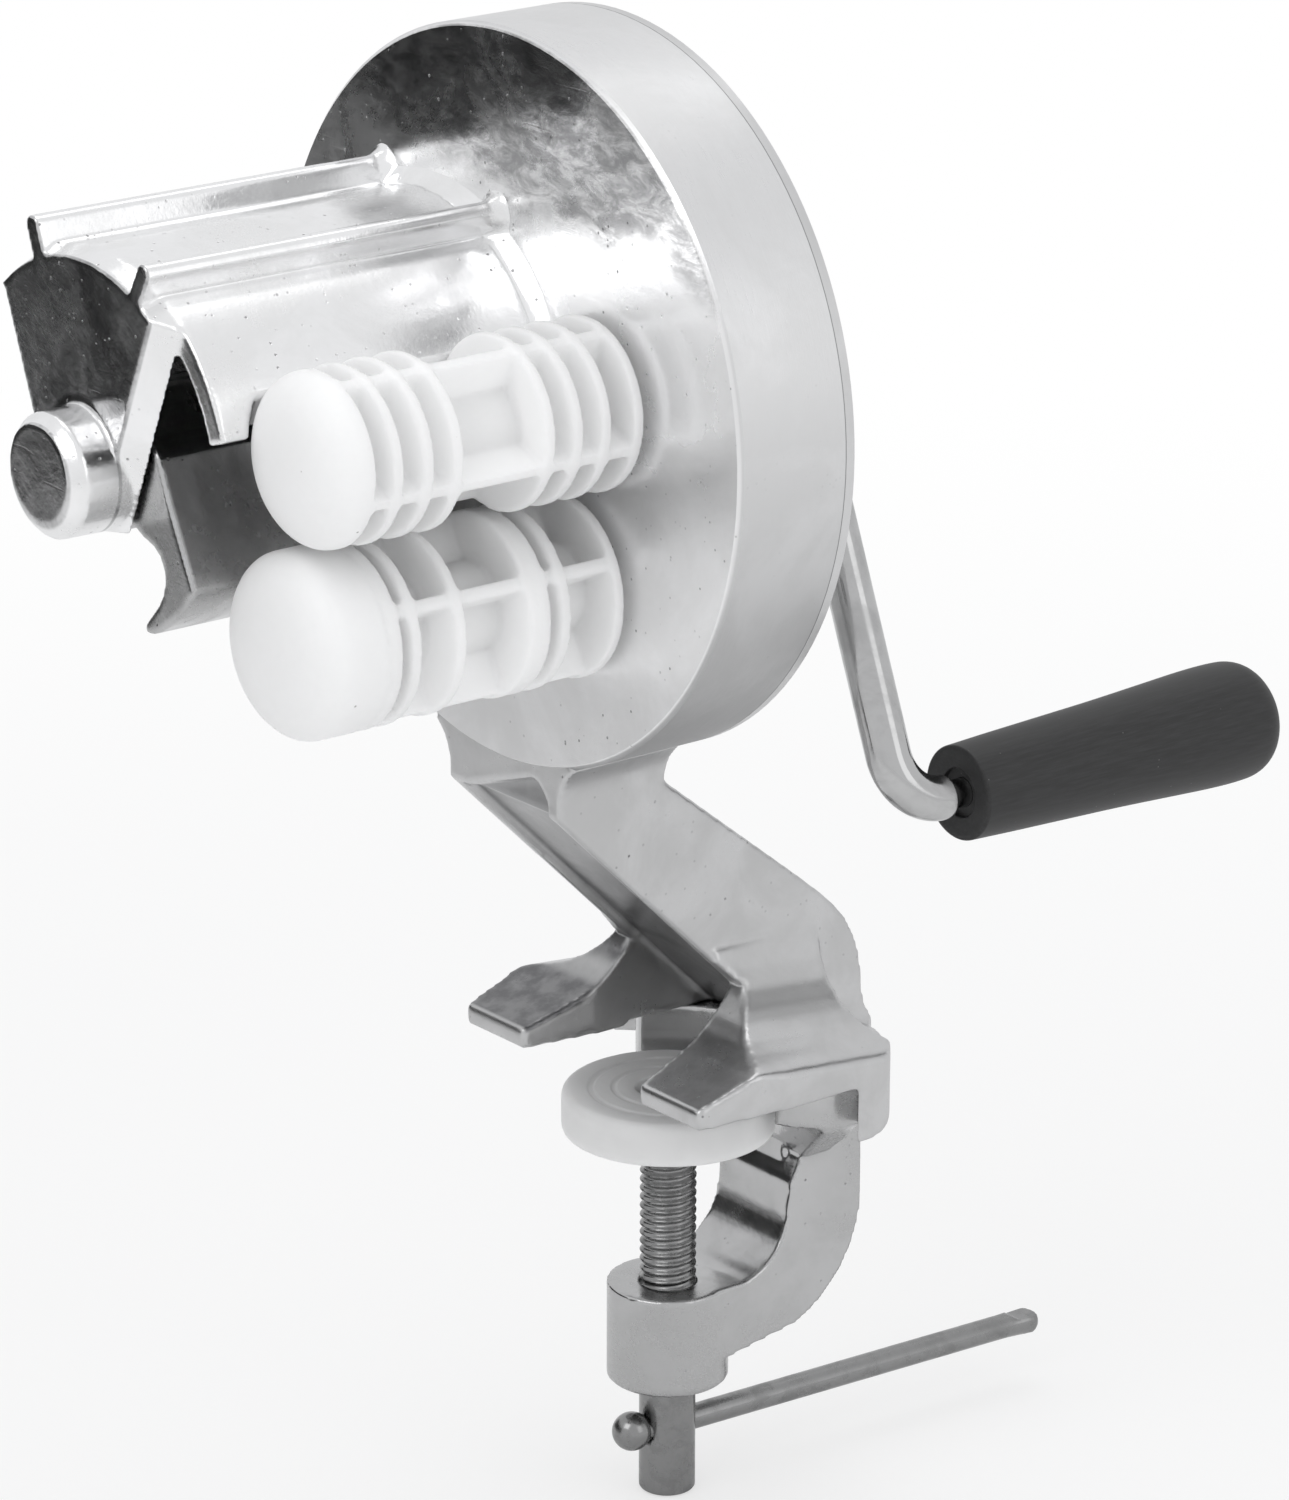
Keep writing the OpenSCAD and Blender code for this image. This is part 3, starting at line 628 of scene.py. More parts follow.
@dataclass(frozen=True)
class CastMetal(Finish):
    """Polished aluminium casting with cloudy patches, scattered pits, fine scratches and a wavy skin.

    Args:
        bright: grey of the polished skin.
        dull: grey of the patches.
        gloss: roughness of the polished skin.
        matt: roughness of the patches.
        patch: size of the patches in mm.
        pits: share of the skin's cells that hold a pit.
        wave: height of the slow waves in mm.
        peel: height of the fine uneven skin in mm.
        grain: direction of the fine lines.
        lines: strength of the fine lines.
    """

    bright: float = 0.82
    dull: float = 0.55
    gloss: float = 0.14
    matt: float = 0.34
    patch: float = 22.0
    pits: float = 0.16
    wave: float = 0.12
    peel: float = 0.02
    grain: Grain = Grain.NONE
    lines: float = 0.5

    def tone(self, p: Paint, at: Value, base: Value) -> Value:
        """The colour before pits darken it. Kinds with zones change this."""
        return base

    def pitted(self, p: Paint, at: Value) -> Value | float:
        """Share of the pits that show at a place."""
        return 1.0

    def waves(self, p: Paint, at: Value) -> Value:
        """Slow unevenness of the skin, about 0.5 on average."""
        return p.noise(at, 17.0, 2.0, 0.5)

    def dullness(self, p: Paint, at: Value) -> Value | float:
        """Roughness that a zone adds."""
        return 0.0

    def strokes(self, p: Paint, at: Value) -> Value:
        """Fine lines of the finish, 0 to 1, in the grain's direction."""
        x, y, z = p.parts(at)
        if self.grain is Grain.ROUND_FACE:
            up = z - CASE_Z
            where = p.joined((x * x + up * up).root() * 1.6, y * 0.2, 0.0)
        elif self.grain is Grain.UPRIGHT:
            where = p.joined((x + y * 0.6) * 2.4, y * 0.3, z * 0.12)
        else:
            where = p.joined(x * 0.15 + y * 0.8, z * 1.1 + x * 0.7, y * 0.1)
        return p.noise(where, 1.0, 4.0, 0.7)

    def paint(self, p: Paint) -> bpy.types.Material:
        """Builds the metal: colour, roughness and bump from clouds, pits, scratches and lines."""
        at = p.place()
        clouds = p.noise(at, self.patch, 6.0, 0.62, 0.5).ramp(0.38, 0.64)
        smear = p.noise(at, self.patch * 0.28, 4.0, 0.6, 1.2)
        near, pick = p.cells(at, 1.5)
        grouped = p.noise(at, 13.0, 2.0, 0.5).ramp(0.5, 0.62)
        held = pick.ramp(1 - self.pits, 1 - self.pits + 0.02)
        pit = near.ramp(0.1, 0.26, 1.0, 0.0) * held * (0.3 + 0.7 * grouped) * self.pitted(p, at)
        lines = self.strokes(p, at)
        scratch = p.noise(p.moved(at, (3.0, 0, 0), (0.05, 1.3, 0.9)), 1.0, 2.0, 0.6).ramp(0.66, 0.72)
        fine = p.noise(at, 0.5, 2.0, 0.6)
        share = (clouds * 0.75 + smear * 0.35 + (lines - 0.5) * (0.5 * self.lines)).least(1.0)
        base = p.tinted((self.dull,) * 3, share, (self.bright, self.bright, self.bright * 1.005))
        colour = p.tinted(self.tone(p, at, base), pit * 0.7, (0.16, 0.16, 0.165))
        rough = (
            self.matt
            + clouds * (self.gloss - self.matt)
            + (lines - 0.5) * (0.22 * self.lines)
            + pit * 0.25
            + fine * 0.05
            + self.dullness(p, at)
        )
        height = (
            self.waves(p, at) * self.wave
            + p.noise(at, 4.2, 2.0, 0.5) * (self.wave * 0.14)
            + p.noise(at, 1.3, 2.0, 0.5) * self.peel
            + fine * 0.004
            - pit * 0.1
            - scratch * 0.006
            + lines * (0.012 * self.lines)
        )
        return p.finished(
            {"Base Color": colour, "Roughness": rough.most(0.06), "Normal": p.bump(height)},
            {"Metallic": 1.0, "IOR": 1.5},
        )


@dataclass(frozen=True)
class CaseMetal(CastMetal):
    """The case's casting: a brushed outside and a polished front, with a painted dark reflection on the
    upper front, painted shade low on the round side and on the lower front rim, and a painted highlight on
    the upper front rim.
    """

    def side(self, p: Paint, at: Value) -> Value:
        """1 on the round outside of the case and 0 on its faces."""
        x, _, z = p.parts(at)
        up = z - CASE_Z
        return (x * x + up * up).root().ramp(74.0, 74.8)

    def pitted(self, p: Paint, at: Value) -> Value:
        """The brushed side has hardly any pits."""
        return 1.0 - 0.9 * self.side(p, at)

    def strokes(self, p: Paint, at: Value) -> Value:
        """Lines round the side, and none on the front."""
        x, y, z = p.parts(at)
        turn = (z - CASE_Z).angle(x)
        long = p.noise(p.joined(turn * 5.0, y * 2.6, 0.0), 1.0, 4.0, 0.7)
        short = p.noise(p.joined(turn * 22.0, y * 4.5, 0.0), 1.0, 3.0, 0.65)
        return 0.5 + (long * 0.6 + short * 0.4 - 0.5) * 2.0 * self.side(p, at)

    def waves(self, p: Paint, at: Value) -> Value:
        """Level streaks on the front, and none on the side."""
        streak = p.noise(p.moved(at, (0, 0, 0), (0.35, 0.35, 1.3)), 15.0, 3.0, 0.5, 0.3)
        return streak * (1.0 - 0.92 * self.side(p, at))

    def tone(self, p: Paint, at: Value, base: Value) -> Value:
        """Paints a dark reflection on the upper front face along an uneven edge, painted shade on the round
        side towards the bottom and on the lower front rim, and a painted highlight on the upper front rim;
        also darkens the cover's joint line.
        """
        x, y, z = p.parts(at)
        # Painted reflection: the upper front face is darkened in mottled patches below an uneven edge.
        edge = z - CASE_Z + x * 0.16 + (p.noise(at, 26.0, 4.0, 0.6) - 0.5) * 26.0
        front = (y - CASE_FRONT).size().ramp(0.2, 0.6, 1.0, 0.0)
        painted_reflection_mottle = p.noise(p.moved(at, (0, 0, 0), (0.7, 1.0, 1.5)), 6.0, 7.0, 0.75, 0.5).ramp(0.34, 0.62)
        top = edge.ramp(40.0, 49.0) * front * (0.2 + 0.5 * painted_reflection_mottle)
        joint = (y - COVER_Y).size().ramp(0.1, 0.3, 1.0, 0.0) * self.side(p, at)
        side = self.side(p, at)
        # The front rim of the round side: painted shade on its lower part and a painted highlight on its
        # upper part.
        rim = (y - CASE_FRONT).size().ramp(0.35, 0.7, 1.0, 0.0) * side
        high = z.ramp(105.0, 150.0)
        # The round side is tinted grey, a little all over and most towards the bottom, where the grey is
        # painted shade.
        grey = p.tinted(base, side * z.ramp(85.0, 170.0, 0.85, 0.28), (0.36, 0.36, 0.362))
        share = (top + joint * 0.75 + rim * (1.0 - high) * 0.5).least(1.0)
        dark = p.tinted(grey, share, (0.1, 0.1, 0.105))
        return p.tinted(dark, rim * high * 0.8, (0.95, 0.95, 0.95))

    def dullness(self, p: Paint, at: Value) -> Value:
        """The brushed side and the lower front are less glossy."""
        z = p.parts(at)[2]
        return (z - CASE_Z).ramp(-35.0, 20.0, 0.2, 0.0).most(self.side(p, at) * 0.12)


@dataclass(frozen=True)
class EndMetal(CastMetal):
    """The shell's casting, whose end plate and boss face carry a painted, mottled dark reflection.

    Args:
        plate_y: Y of the end plate's face.
        boss_y: Y of the boss's face.
    """

    plate_y: float = -127.5
    boss_y: float = -138.0

    def tone(self, p: Paint, at: Value, base: Value) -> Value:
        """Paints a mottled dark reflection on the faces at the outer end."""
        y = p.parts(at)[1]
        # Painted reflection: the end plate's and the boss's faces are darkened in mottled patches.
        painted_dark_mottle = p.noise(at, 7.0, 5.0, 0.7, 0.8).ramp(0.35, 0.7)
        plate = (y - self.plate_y).size().ramp(0.25, 0.55, 1.0, 0.0)
        boss = (y - self.boss_y).size().ramp(0.3, 0.7, 1.0, 0.0)
        end = plate.most(boss * 0.9) * (0.32 + 0.4 * painted_dark_mottle)
        return p.tinted(base, end, (0.14, 0.14, 0.145))


@dataclass(frozen=True)
class StandMetal(CastMetal):
    """The stand's casting, with painted shade on its channel floor, the neck's sunk face and the prongs'
    tops.
    """

    def tone(self, p: Paint, at: Value, base: Value) -> Value:
        """Paints shade on the channel's floor, which lies behind the arm's sloping front, on the neck's sunk
        face, and on the prongs' tops, most on the prong at -X.
        """
        x, y, z = p.parts(at)
        # Painted shade in the channel behind the arm's sloping front and on the neck's sunk face.
        behind = y - ARM_FRONT_Y + z * ARM_SLOPE
        inside = x.size().ramp(14.6, 15.4, 1.0, 0.0)
        slope = behind.ramp(0.9, 2.0) * behind.ramp(3.6, 4.4, 1.0, 0.0) * inside
        slope = slope * z.ramp(62.5, 64.5, 1.0, 0.0)
        neck = (y - NECK_FLOOR_Y).size().ramp(0.3, 0.8, 1.0, 0.0) * z.ramp(63.0, 64.0)
        floor = slope.most(neck * x.size().ramp(14.2, 15.0, 1.0, 0.0))
        # Painted shade on the prongs' tops, mottled and darker on the prong at -X.
        painted_dark_mottle = p.noise(at, 5.0, 5.0, 0.6).ramp(0.36, 0.66)
        tip = (y - PRONG_TIP_Y) * 0.3
        over = (z - 3.7 - tip - (y + 9.5).most(0.0) * 0.55).ramp(-0.9, 0.1)
        prong = y.ramp(PRONG_TIP_Y + 0.4, PRONG_TIP_Y + 1.2) * y.ramp(1.0, 4.0, 1.0, 0.0)
        top = over * prong * z.ramp(20.0, 26.0, 1.0, 0.0)
        depth = x.ramp(-12.0, 12.0, 0.72, 0.0) + 0.24 * painted_dark_mottle
        return p.tinted(base, (floor * 0.55 + top * depth).least(1.0), (0.15, 0.15, 0.155))


@dataclass(frozen=True)
class SteelMetal(Finish):
    """Plain or plated steel with faint marks.

    Args:
        tone: grey of the steel.
        worn: grey of its marks.
        gloss: roughness.
        mark: size of the marks in mm.
        drawn: strength of fine lines round the piece.
    """

    tone: float = 0.6
    worn: float = 0.42
    gloss: float = 0.22
    mark: float = 6.0
    drawn: float = 0.3

    def paint(self, p: Paint) -> bpy.types.Material:
        """Builds the steel from clouds of wear and short drawn lines."""
        at = p.place()
        wear = p.noise(at, self.mark, 5.0, 0.65, 0.4).ramp(0.4, 0.68)
        lines = p.noise(p.moved(at, (0, 0, 0), (1.0, 0.35, 5.0)), 0.8, 3.0, 0.6)
        fine = p.noise(at, 0.4, 2.0, 0.5)
        colour = p.tinted((self.tone,) * 3, wear, (self.worn,) * 3)
        rough = self.gloss + wear * 0.16 + (lines - 0.5) * (0.3 * self.drawn)
        height = p.noise(at, 5.0, 2.0) * 0.02 + fine * 0.004 + lines * (0.012 * self.drawn)
        return p.finished(
            {"Base Color": colour, "Roughness": rough.most(0.05), "Normal": p.bump(height)},
            {"Metallic": 1.0},
        )


@dataclass(frozen=True)
class WhitePlastic(Finish):
    """Natural white plastic that light enters a little.

    Args:
        tone: its grey.
        depth: how far light goes, in mm.
        gloss: roughness.
        rings: True adds fine turned rings about the Z axis.
    """

    tone: float = 0.9
    depth: float = 3.0
    gloss: float = 0.38
    rings: bool = False

    def paint(self, p: Paint) -> bpy.types.Material:
        """Builds the plastic: cloudy body, few specks, soft moulded skin."""
        at = p.place()
        cloud = p.noise(at, 9.0, 4.0, 0.6, 0.3)
        near, pick = p.cells(at, 3.4)
        speck = near.ramp(0.05, 0.1, 1.0, 0.0) * pick.ramp(0.975, 0.985)
        pale = (self.tone, self.tone, self.tone * 0.998)
        base = p.tinted((self.tone * 0.965,) * 3, cloud.ramp(0.3, 0.7), pale)
        colour = p.tinted(base, speck * 0.75, (0.25, 0.24, 0.22))
        height = p.noise(at, 0.9, 3.0, 0.6) * 0.012 + cloud * 0.05
        if self.rings:
            x, y, _ = p.parts(at)
            ring = p.noise(p.joined((x * x + y * y).root() * 1.3, 0.0, 0.0), 1.0, 3.0, 0.7)
            height = height + ring * 0.03
        return p.finished(
            {"Base Color": colour, "Roughness": self.gloss + cloud * 0.12, "Normal": p.bump(height)},
            {
                "Subsurface Weight": 1.0,
                "Subsurface Radius": (1.0, 1.0, 1.0),
                "Subsurface Scale": self.depth * MM,
                "IOR": 1.5,
            },
        )


@dataclass(frozen=True)
class BlackGrip(Finish):
    """Satin black moulded grip with fine grain, faint rubbed streaks and dust specks."""

    tone: float = 0.012
    gloss: float = 0.42

    def paint(self, p: Paint) -> bpy.types.Material:
        """Builds the black plastic from a fine grain, streaks along it and a few specks."""
        at = p.place()
        streak = p.noise(p.moved(at, (0, 0, 0), (1.6, 0.12, 1.6)), 1.0, 4.0, 0.65)
        near, pick = p.cells(at, 1.5)
        dust = near.ramp(0.06, 0.12, 1.0, 0.0) * pick.ramp(0.93, 0.94)
        rubbed = (self.tone * 2.2, self.tone * 2.2, self.tone * 2.3)
        body = p.tinted((self.tone,) * 3, streak.ramp(0.3, 0.8), rubbed)
        colour = p.tinted(body, dust * 0.5, (0.2, 0.2, 0.2))
        grain = p.noise(at, 0.35, 2.0, 0.6)
        return p.finished(
            {
                "Base Color": colour,
                "Roughness": self.gloss + streak * 0.16,
                "Normal": p.bump(grain * 0.012 + streak * 0.006),
            },
            {"IOR": 1.5},
        )


@dataclass(frozen=True)
class Bronze(Finish):
    """Sintered bronze bush, grey-brown and fine grained."""

    def paint(self, p: Paint) -> bpy.types.Material:
        """Builds the bronze from fine grain and stains."""
        at = p.place()
        stain = p.noise(at, 3.0, 4.0, 0.6)
        grain = p.noise(at, 0.3, 2.0, 0.6)
        colour = p.tinted((0.42, 0.33, 0.22), stain.ramp(0.3, 0.7), (0.56, 0.46, 0.33))
        return p.finished(
            {"Base Color": colour, "Roughness": 0.34 + grain * 0.2, "Normal": p.bump(grain * 0.01)},
            {"Metallic": 1.0},
        )


CASE = CaseMetal(
    "case casting", bright=0.95, dull=0.85, gloss=0.16, matt=0.3, patch=30.0, pits=0.14, wave=0.14, lines=1.0
)
COVER = CastMetal(
    "cover plate", bright=0.69, dull=0.61, gloss=0.28, matt=0.36, patch=34.0, pits=0.03, wave=0.03,
    grain=Grain.ROUND_FACE, lines=1.0
)
SHELL = EndMetal(
    "shell casting", bright=0.97, dull=0.88, gloss=0.12, matt=0.24, patch=24.0, pits=0.16, wave=0.12
)
STAND = StandMetal(
    "stand casting", bright=0.6, dull=0.53, gloss=0.26, matt=0.34, patch=18.0, pits=0.05, wave=0.06,
    grain=Grain.UPRIGHT, lines=0.35
)
BRACKET = CastMetal(
    "bracket casting", bright=0.54, dull=0.47, gloss=0.14, matt=0.26, patch=26.0, pits=0.06, wave=0.08
)
ROTOR_METAL = CastMetal(
    "rotor casting", bright=0.58, dull=0.45, gloss=0.14, matt=0.26, patch=16.0, pits=0.08, wave=0.1
)
CHROME = SteelMetal("crank plating", tone=0.53, worn=0.45, gloss=0.1, mark=9.0, drawn=0.15)
SHAFT = SteelMetal("shaft steel", tone=0.55, worn=0.45, gloss=0.24)
GEAR = SteelMetal("gear steel", tone=0.42, worn=0.34, gloss=0.32)
SCREW = SteelMetal("screw steel", tone=0.3, worn=0.25, gloss=0.2, mark=5.0, drawn=0.35)
SMALL = SteelMetal("small steel parts", tone=0.5, worn=0.4, gloss=0.26, mark=3.0)
ROLLER = WhitePlastic("roller plastic", tone=0.98, depth=6.0, gloss=0.4)
PAD = WhitePlastic("pad plastic", tone=0.74, depth=8.0, gloss=0.32, rings=True)
GRIP = BlackGrip("grip plastic")
BUSH = Bronze("bush bronze")


# Sub-assemblies


@dataclass
class Housing:
    """Round gear case with its rear cover, screws and bushes.

    Args:
        casting: how the shell is softened.
        flare: thickness of the hidden plate that the shell's foot runs into.
        flare_r: inner and outer radius of that plate.
        span: angles of the plate's ends, in degrees.
        ridges: angles of the two ridges, in degrees.
        crest_r: distance of the ridges' crests from the rotor's axis.
        bead: profile of the bead at a ridge's foot: Y, radius and corner size of each point.
        bushes: the bushes' nodes.
    """

    casting: Casting = Casting(cell=0.66, rounds=9)
    flare: float = 2.4
    flare_r: tuple[float, float] = (36.5, 52.0)
    span: tuple[float, float] = (17.0, 131.6)
    ridges: tuple[float, float] = (63.0, 110.0)
    crest_r: float = 45.5
    bead: tuple[tuple[float, float, float], ...] = (
        (-53, 0, 0), (-53, 1.9, 0.5), (-47, 2.4, 2), (-44.5, 3.5, 1.5),
        (-43.4, 4.8, 0.5), (-41.5, 4.8, 0.2), (-41.5, 0, 0),
    )
    bushes: tuple[str, ...] = (
        "rotor_bush_inner", "rotor_bush_outer", "rotor_bush_rear", "drive_bush_front",
        "drive_bush_rear", "idler_bush_front", "idler_bush_rear",
    )

    def hidden_plate(self) -> Surface:
        """A ring sector just inside the case's wall, which the shell's foot runs into."""
        top = CASE_FRONT + 0.25
        return sector_bar(ROTOR, self.flare_r, (top, top + self.flare), self.span)

    def ridge_beads(self) -> Surface:
        """Soft beads where each ridge runs into the case.

        Each bead is a profile of half-round shape turned about a line along Y at the ridge's crest, so
        it swells from the ridge's width to a low rounded foot.
        """
        made: Surface | None = None
        for angle in np.radians(self.ridges):
            at = (ROTOR[0] + self.crest_r * math.cos(angle), ROTOR[1] + self.crest_r * math.sin(angle))
            bead = turned(rounded_profile(self.bead), Axis.Y, at, 48)
            made = bead if made is None else made.joined(bead)
        return made

    def build(self) -> None:
        """Makes the shell and dresses the case, cover, screws and bushes."""
        shape = node_surface("forming_shell").joined(self.hidden_plate()).joined(self.ridge_beads())
        adopt(self.casting.made("shell_casting", shape), "frame", "cast_metal", SHELL, "forming_shell")
        dress("gear_case", CASE)
        dress("rear_cover", COVER)
        dress("cover_screws", SMALL)
        for bush in self.bushes:
            dress(bush, BUSH)


@dataclass
class Stand:
    """Neck, arm and fork in one casting.

    Args:
        casting: how the piece is softened.
        plug_r: inner and outer radius of the hidden plug by which the neck runs on into the case's wall.
        plug_y: lowest and highest Y of that plug.
        plug_span: angles of its ends about the case's axis, in degrees.
    """

    casting: Casting = Casting(cell=0.74, rounds=14)
    plug_r: tuple[float, float] = (70.0, 74.7)
    plug_y: tuple[float, float] = (-43.1, -17.0)
    plug_span: tuple[float, float] = (-107.0, -73.0)

    def build(self) -> None:
        """Makes the soft casting from the CAD node's own solid and the hidden plug."""
        plug = sector_bar((0.0, CASE_Z), self.plug_r, self.plug_y, self.plug_span)
        piece = self.casting.made("stand_casting", node_surface("clamp_stand").joined(plug))
        adopt(piece, "frame", "cast_metal", STAND, "clamp_stand")


@dataclass
class TableClamp:
    """Bracket, threaded screw, swivel pad, clip and tommy bar.

    Args:
        casting: how the bracket is softened.
        pitch: rise of the thread in one turn.
        depth: depth of the thread.
        radius: radius over the thread.
        thread: heights at which the thread ends.
        end: height of the screw's lower end.
        pad_top: height of the pad's face.
        pad_t: thickness of the pad.
        pad_r: radius of the pad.
        bar_z: height of the tommy bar.
        ball: radius of the ball, its distance from the screw's axis and its rise over the bar's.
        bar: radius of the bar, its far end's radius, and its far end's distance.
        hole_r: radius of the bar's hole in the screw.
        play: gap between the ball and its seat.
    """

    casting: Casting = Casting(cell=0.7, rounds=5)
    pitch: float = 2.0
    depth: float = 0.75
    radius: float = 6.0
    thread: tuple[float, float] = (-76.0, -19.2)
    end: float = -99.5
    pad_top: float = -8.0
    pad_t: float = 9.5
    pad_r: float = 22.5
    bar_z: float = -85.2
    ball: tuple[float, float, float] = (4.2, 9.2, 0.7)
    bar: tuple[float, float, float] = (2.7, 3.15, 98.8)
    hole_r: float = 2.75
    play: float = 0.3

    def screw_surface(self) -> Surface:
        """The screw with a real helical thread.

        Point (i, j) is at height z_i and angle a_j. In the threaded stretch its radius is the screw's
        radius less depth times a rounded saw wave of (z / pitch - a / 2 pi), faded in at both ends.
        """
        cols = 72
        z = np.concatenate([
            [self.end, self.end + 0.2, self.end + 0.6, self.end + 1.2],
            np.linspace(self.end + 4, self.thread[0] - 0.2, 12),
            np.arange(self.thread[0], self.thread[1], self.pitch / 12),
            [-18.4, -17.85, -17.8, -17.6, -16.0, -11.4, -10.95, -10.9],
        ])
        r = np.full(len(z), self.radius)
        r[:4] = [5.4, 5.7, 5.97, 6.0]
        r[-8:] = [5.9, 5.5, 4.4, 3.98, 3.98, 3.98, 3.7, 3.4]
        a = np.arange(cols) * TAU / cols
        phase = z[:, None] / self.pitch - a[None] / TAU
        wave = 0.5 - 0.5 * np.cos(TAU * phase)
        fade = np.clip((z - self.thread[0]) / 1.6, 0, 1) * np.clip((self.thread[1] - z) / 1.2, 0, 1)
        radius = r[:, None] - self.depth * (wave**0.75) * fade[:, None]
        rings = np.stack([radius * np.cos(a), radius * np.sin(a), z[:, None] + 0 * radius], axis=-1)
        return ring_surface(rings)

    def bar_frame(self) -> tuple[np.ndarray, np.ndarray]:
        """Turn and place that put a piece made along Y onto the bar's line."""
        c, s = math.cos(-BAR_YAW), math.sin(-BAR_YAW)
        return np.array([[c, -s, 0], [s, c, 0], [0, 0, 1]]), np.array([0, 0, self.bar_z])

    def bar_surface(self) -> Surface:
        """The bar with its ball and its flattened far end.

        Radius r_i at place y_i: the ball is sqrt(ball^2 - (y - centre)^2), then the plain bar, then a
        short swell. The ball's points are raised by its rise, which fades out along the bar's start. In
        the last 9 mm each point's Z is held between two heights, which makes the two flats.
        """
        ball, far_off, rise = self.ball
        bar, swell, far = self.bar
        t = np.linspace(0, math.pi - 0.72, 24)
        y = np.concatenate([-far_off - ball * np.cos(t), np.linspace(-4.6, far - 10, 12),
                            np.linspace(far - 9, far - 1.4, 16), [far - 0.8, far - 0.3, far]])
        r = np.concatenate([np.maximum(ball * np.sin(t), 0.05), np.full(12, bar),
                            bar + (swell - bar) * np.linspace(0, 1, 16) ** 1.5, [2.9, 2.5, 1.8]])
        shape = turned(np.stack([y, r], axis=1), Axis.Y, (0.0, 0.0), 64)
        along, up = shape.points[:, 1], shape.points[:, 2]
        up += rise * np.clip(-5.7 - along, 0, 1)
        flat = np.clip((along - (far - 8.5)) / 3, 0, 1)
        top, low = 3.4 - 1.8 * flat, -3.2 + 0.7 * flat
        shape.points[:, 2] = np.where(flat > 0, np.clip(up, low, top), up)
        return shape

    def bored(self, piece: bpy.types.Object) -> None:
        """Cuts the bar's hole and the ball's seat out of the screw.

        Args:
            piece: the screw.
        """
        turn, place = self.bar_frame()
        hole = turned(np.array([[-20, self.hole_r], [20, self.hole_r]]), Axis.Y, (0, 0), 48)
        hole = hole.moved(turn, place)
        ball, far_off, rise = self.ball
        t = np.linspace(0.02, math.pi - 0.02, 24)
        seat_r = ball + self.play
        half = np.stack([-far_off - seat_r * np.cos(t), seat_r * np.sin(t)], 1)
        seat = turned(half, Axis.Y, (0, rise), 48)
        for number, form in enumerate((hole, seat.moved(turn, place))):
            cutter = write_mesh(f"cutter_{number}", form, smooth=False)
            cut = piece.modifiers.new("cut", "BOOLEAN")
            cut.operation, cut.object, cut.solver = "DIFFERENCE", cutter, "EXACT"
            done = piece.evaluated_get(bpy.context.evaluated_depsgraph_get())
            mesh = bpy.data.meshes.new_from_object(done)
            piece.modifiers.clear()
            piece.data = mesh
            bpy.data.objects.remove(cutter)

    def pad_surface(self) -> Surface:
        """The pad, turned about the screw, with low rings in its face and a rounded rim."""
        top, low, r = self.pad_top, self.pad_top - self.pad_t, self.pad_r
        profile = rounded_profile([
            (low + 4.9, 4.03, 0.1), (low, 4.06, 0.4), (low, r - 0.6, 1.4), (low + 1.4, r, 1.0),
            (top - 1.2, r, 1.2), (top, r - 1.0, 0.8),
            (top, 17.2, 0.3), (top - 0.35, 16.8, 0.3), (top - 0.35, 15.9, 0.3), (top, 15.5, 0.3),
            (top, 12.2, 0.3), (top - 0.3, 11.8, 0.3), (top - 0.3, 11.2, 0.3), (top, 10.8, 0.3),
            (top, 7.0, 0.3), (top - 2.5, 7.0, 0.2), (top - 4.6, 7.0, 0.2), (top - 4.6, 4.03, 0.1),
        ])
        return turned_band(profile, Axis.Z, (0.0, 0.0), 120)

    def build(self) -> None:
        """Makes the clamp's pieces."""
        bracket = self.casting.made("bracket_casting", node_surface("c_bracket"))
        adopt(bracket, "frame", "cast_metal", BRACKET, "c_bracket")
        screw = write_mesh("threaded_screw", self.screw_surface())
        self.bored(screw)
        adopt(screw, "screw", "screw_steel", SCREW, "clamp_screw")
        adopt(write_mesh("swivel_pad", self.pad_surface()), "pad", "pad_plastic", PAD, "clamp_pad")
        bar = write_mesh("sliding_bar", self.bar_surface().moved(*self.bar_frame()))
        adopt(bar, "bar", "screw_steel", SCREW, "tommy_bar")
        dress("pad_clip", SMALL)


@dataclass
class RollerPair:
    """The two moulded feed rollers."""

    casting: Casting = Casting(cell=0.56, rounds=5)

    def build(self) -> None:
        """Makes each roller with soft moulded edges from its CAD node's solid."""
        for node, body in (("upper_roller", "crank"), ("lower_roller", "idler")):
            piece = self.casting.made(node + "_moulding", node_surface(node))
            adopt(piece, body, "roller_plastic", ROLLER, node)


@dataclass
class RotorSet:
    """Hooked rotor on its shaft."""

    casting: Casting = Casting(cell=0.7, rounds=3)

    def build(self) -> None:
        """Makes the rotor's casting and dresses its shaft."""
        piece = self.casting.made("rotor_casting", node_surface("forming_rotor"))
        adopt(piece, "rotor", "rotor_metal", ROTOR_METAL, "forming_rotor")
        dress("rotor_shaft", SHAFT)


@dataclass
class GearTrain:
    """Gears, pins and roller shafts inside the case."""

    gears: tuple[str, ...] = ("drive_gear", "idler_gear", "rotor_gear")
    shafts: tuple[str, ...] = ("drive_shaft", "idler_shaft")
    pins: tuple[str, ...] = ("drive_pin", "idler_pin", "rotor_pin")

    def build(self) -> None:
        """Dresses the CAD nodes, which keep their exact teeth."""
        for nodes, finish in ((self.gears, GEAR), (self.shafts, SHAFT), (self.pins, SMALL)):
            for node in nodes:
                dress(node, finish)


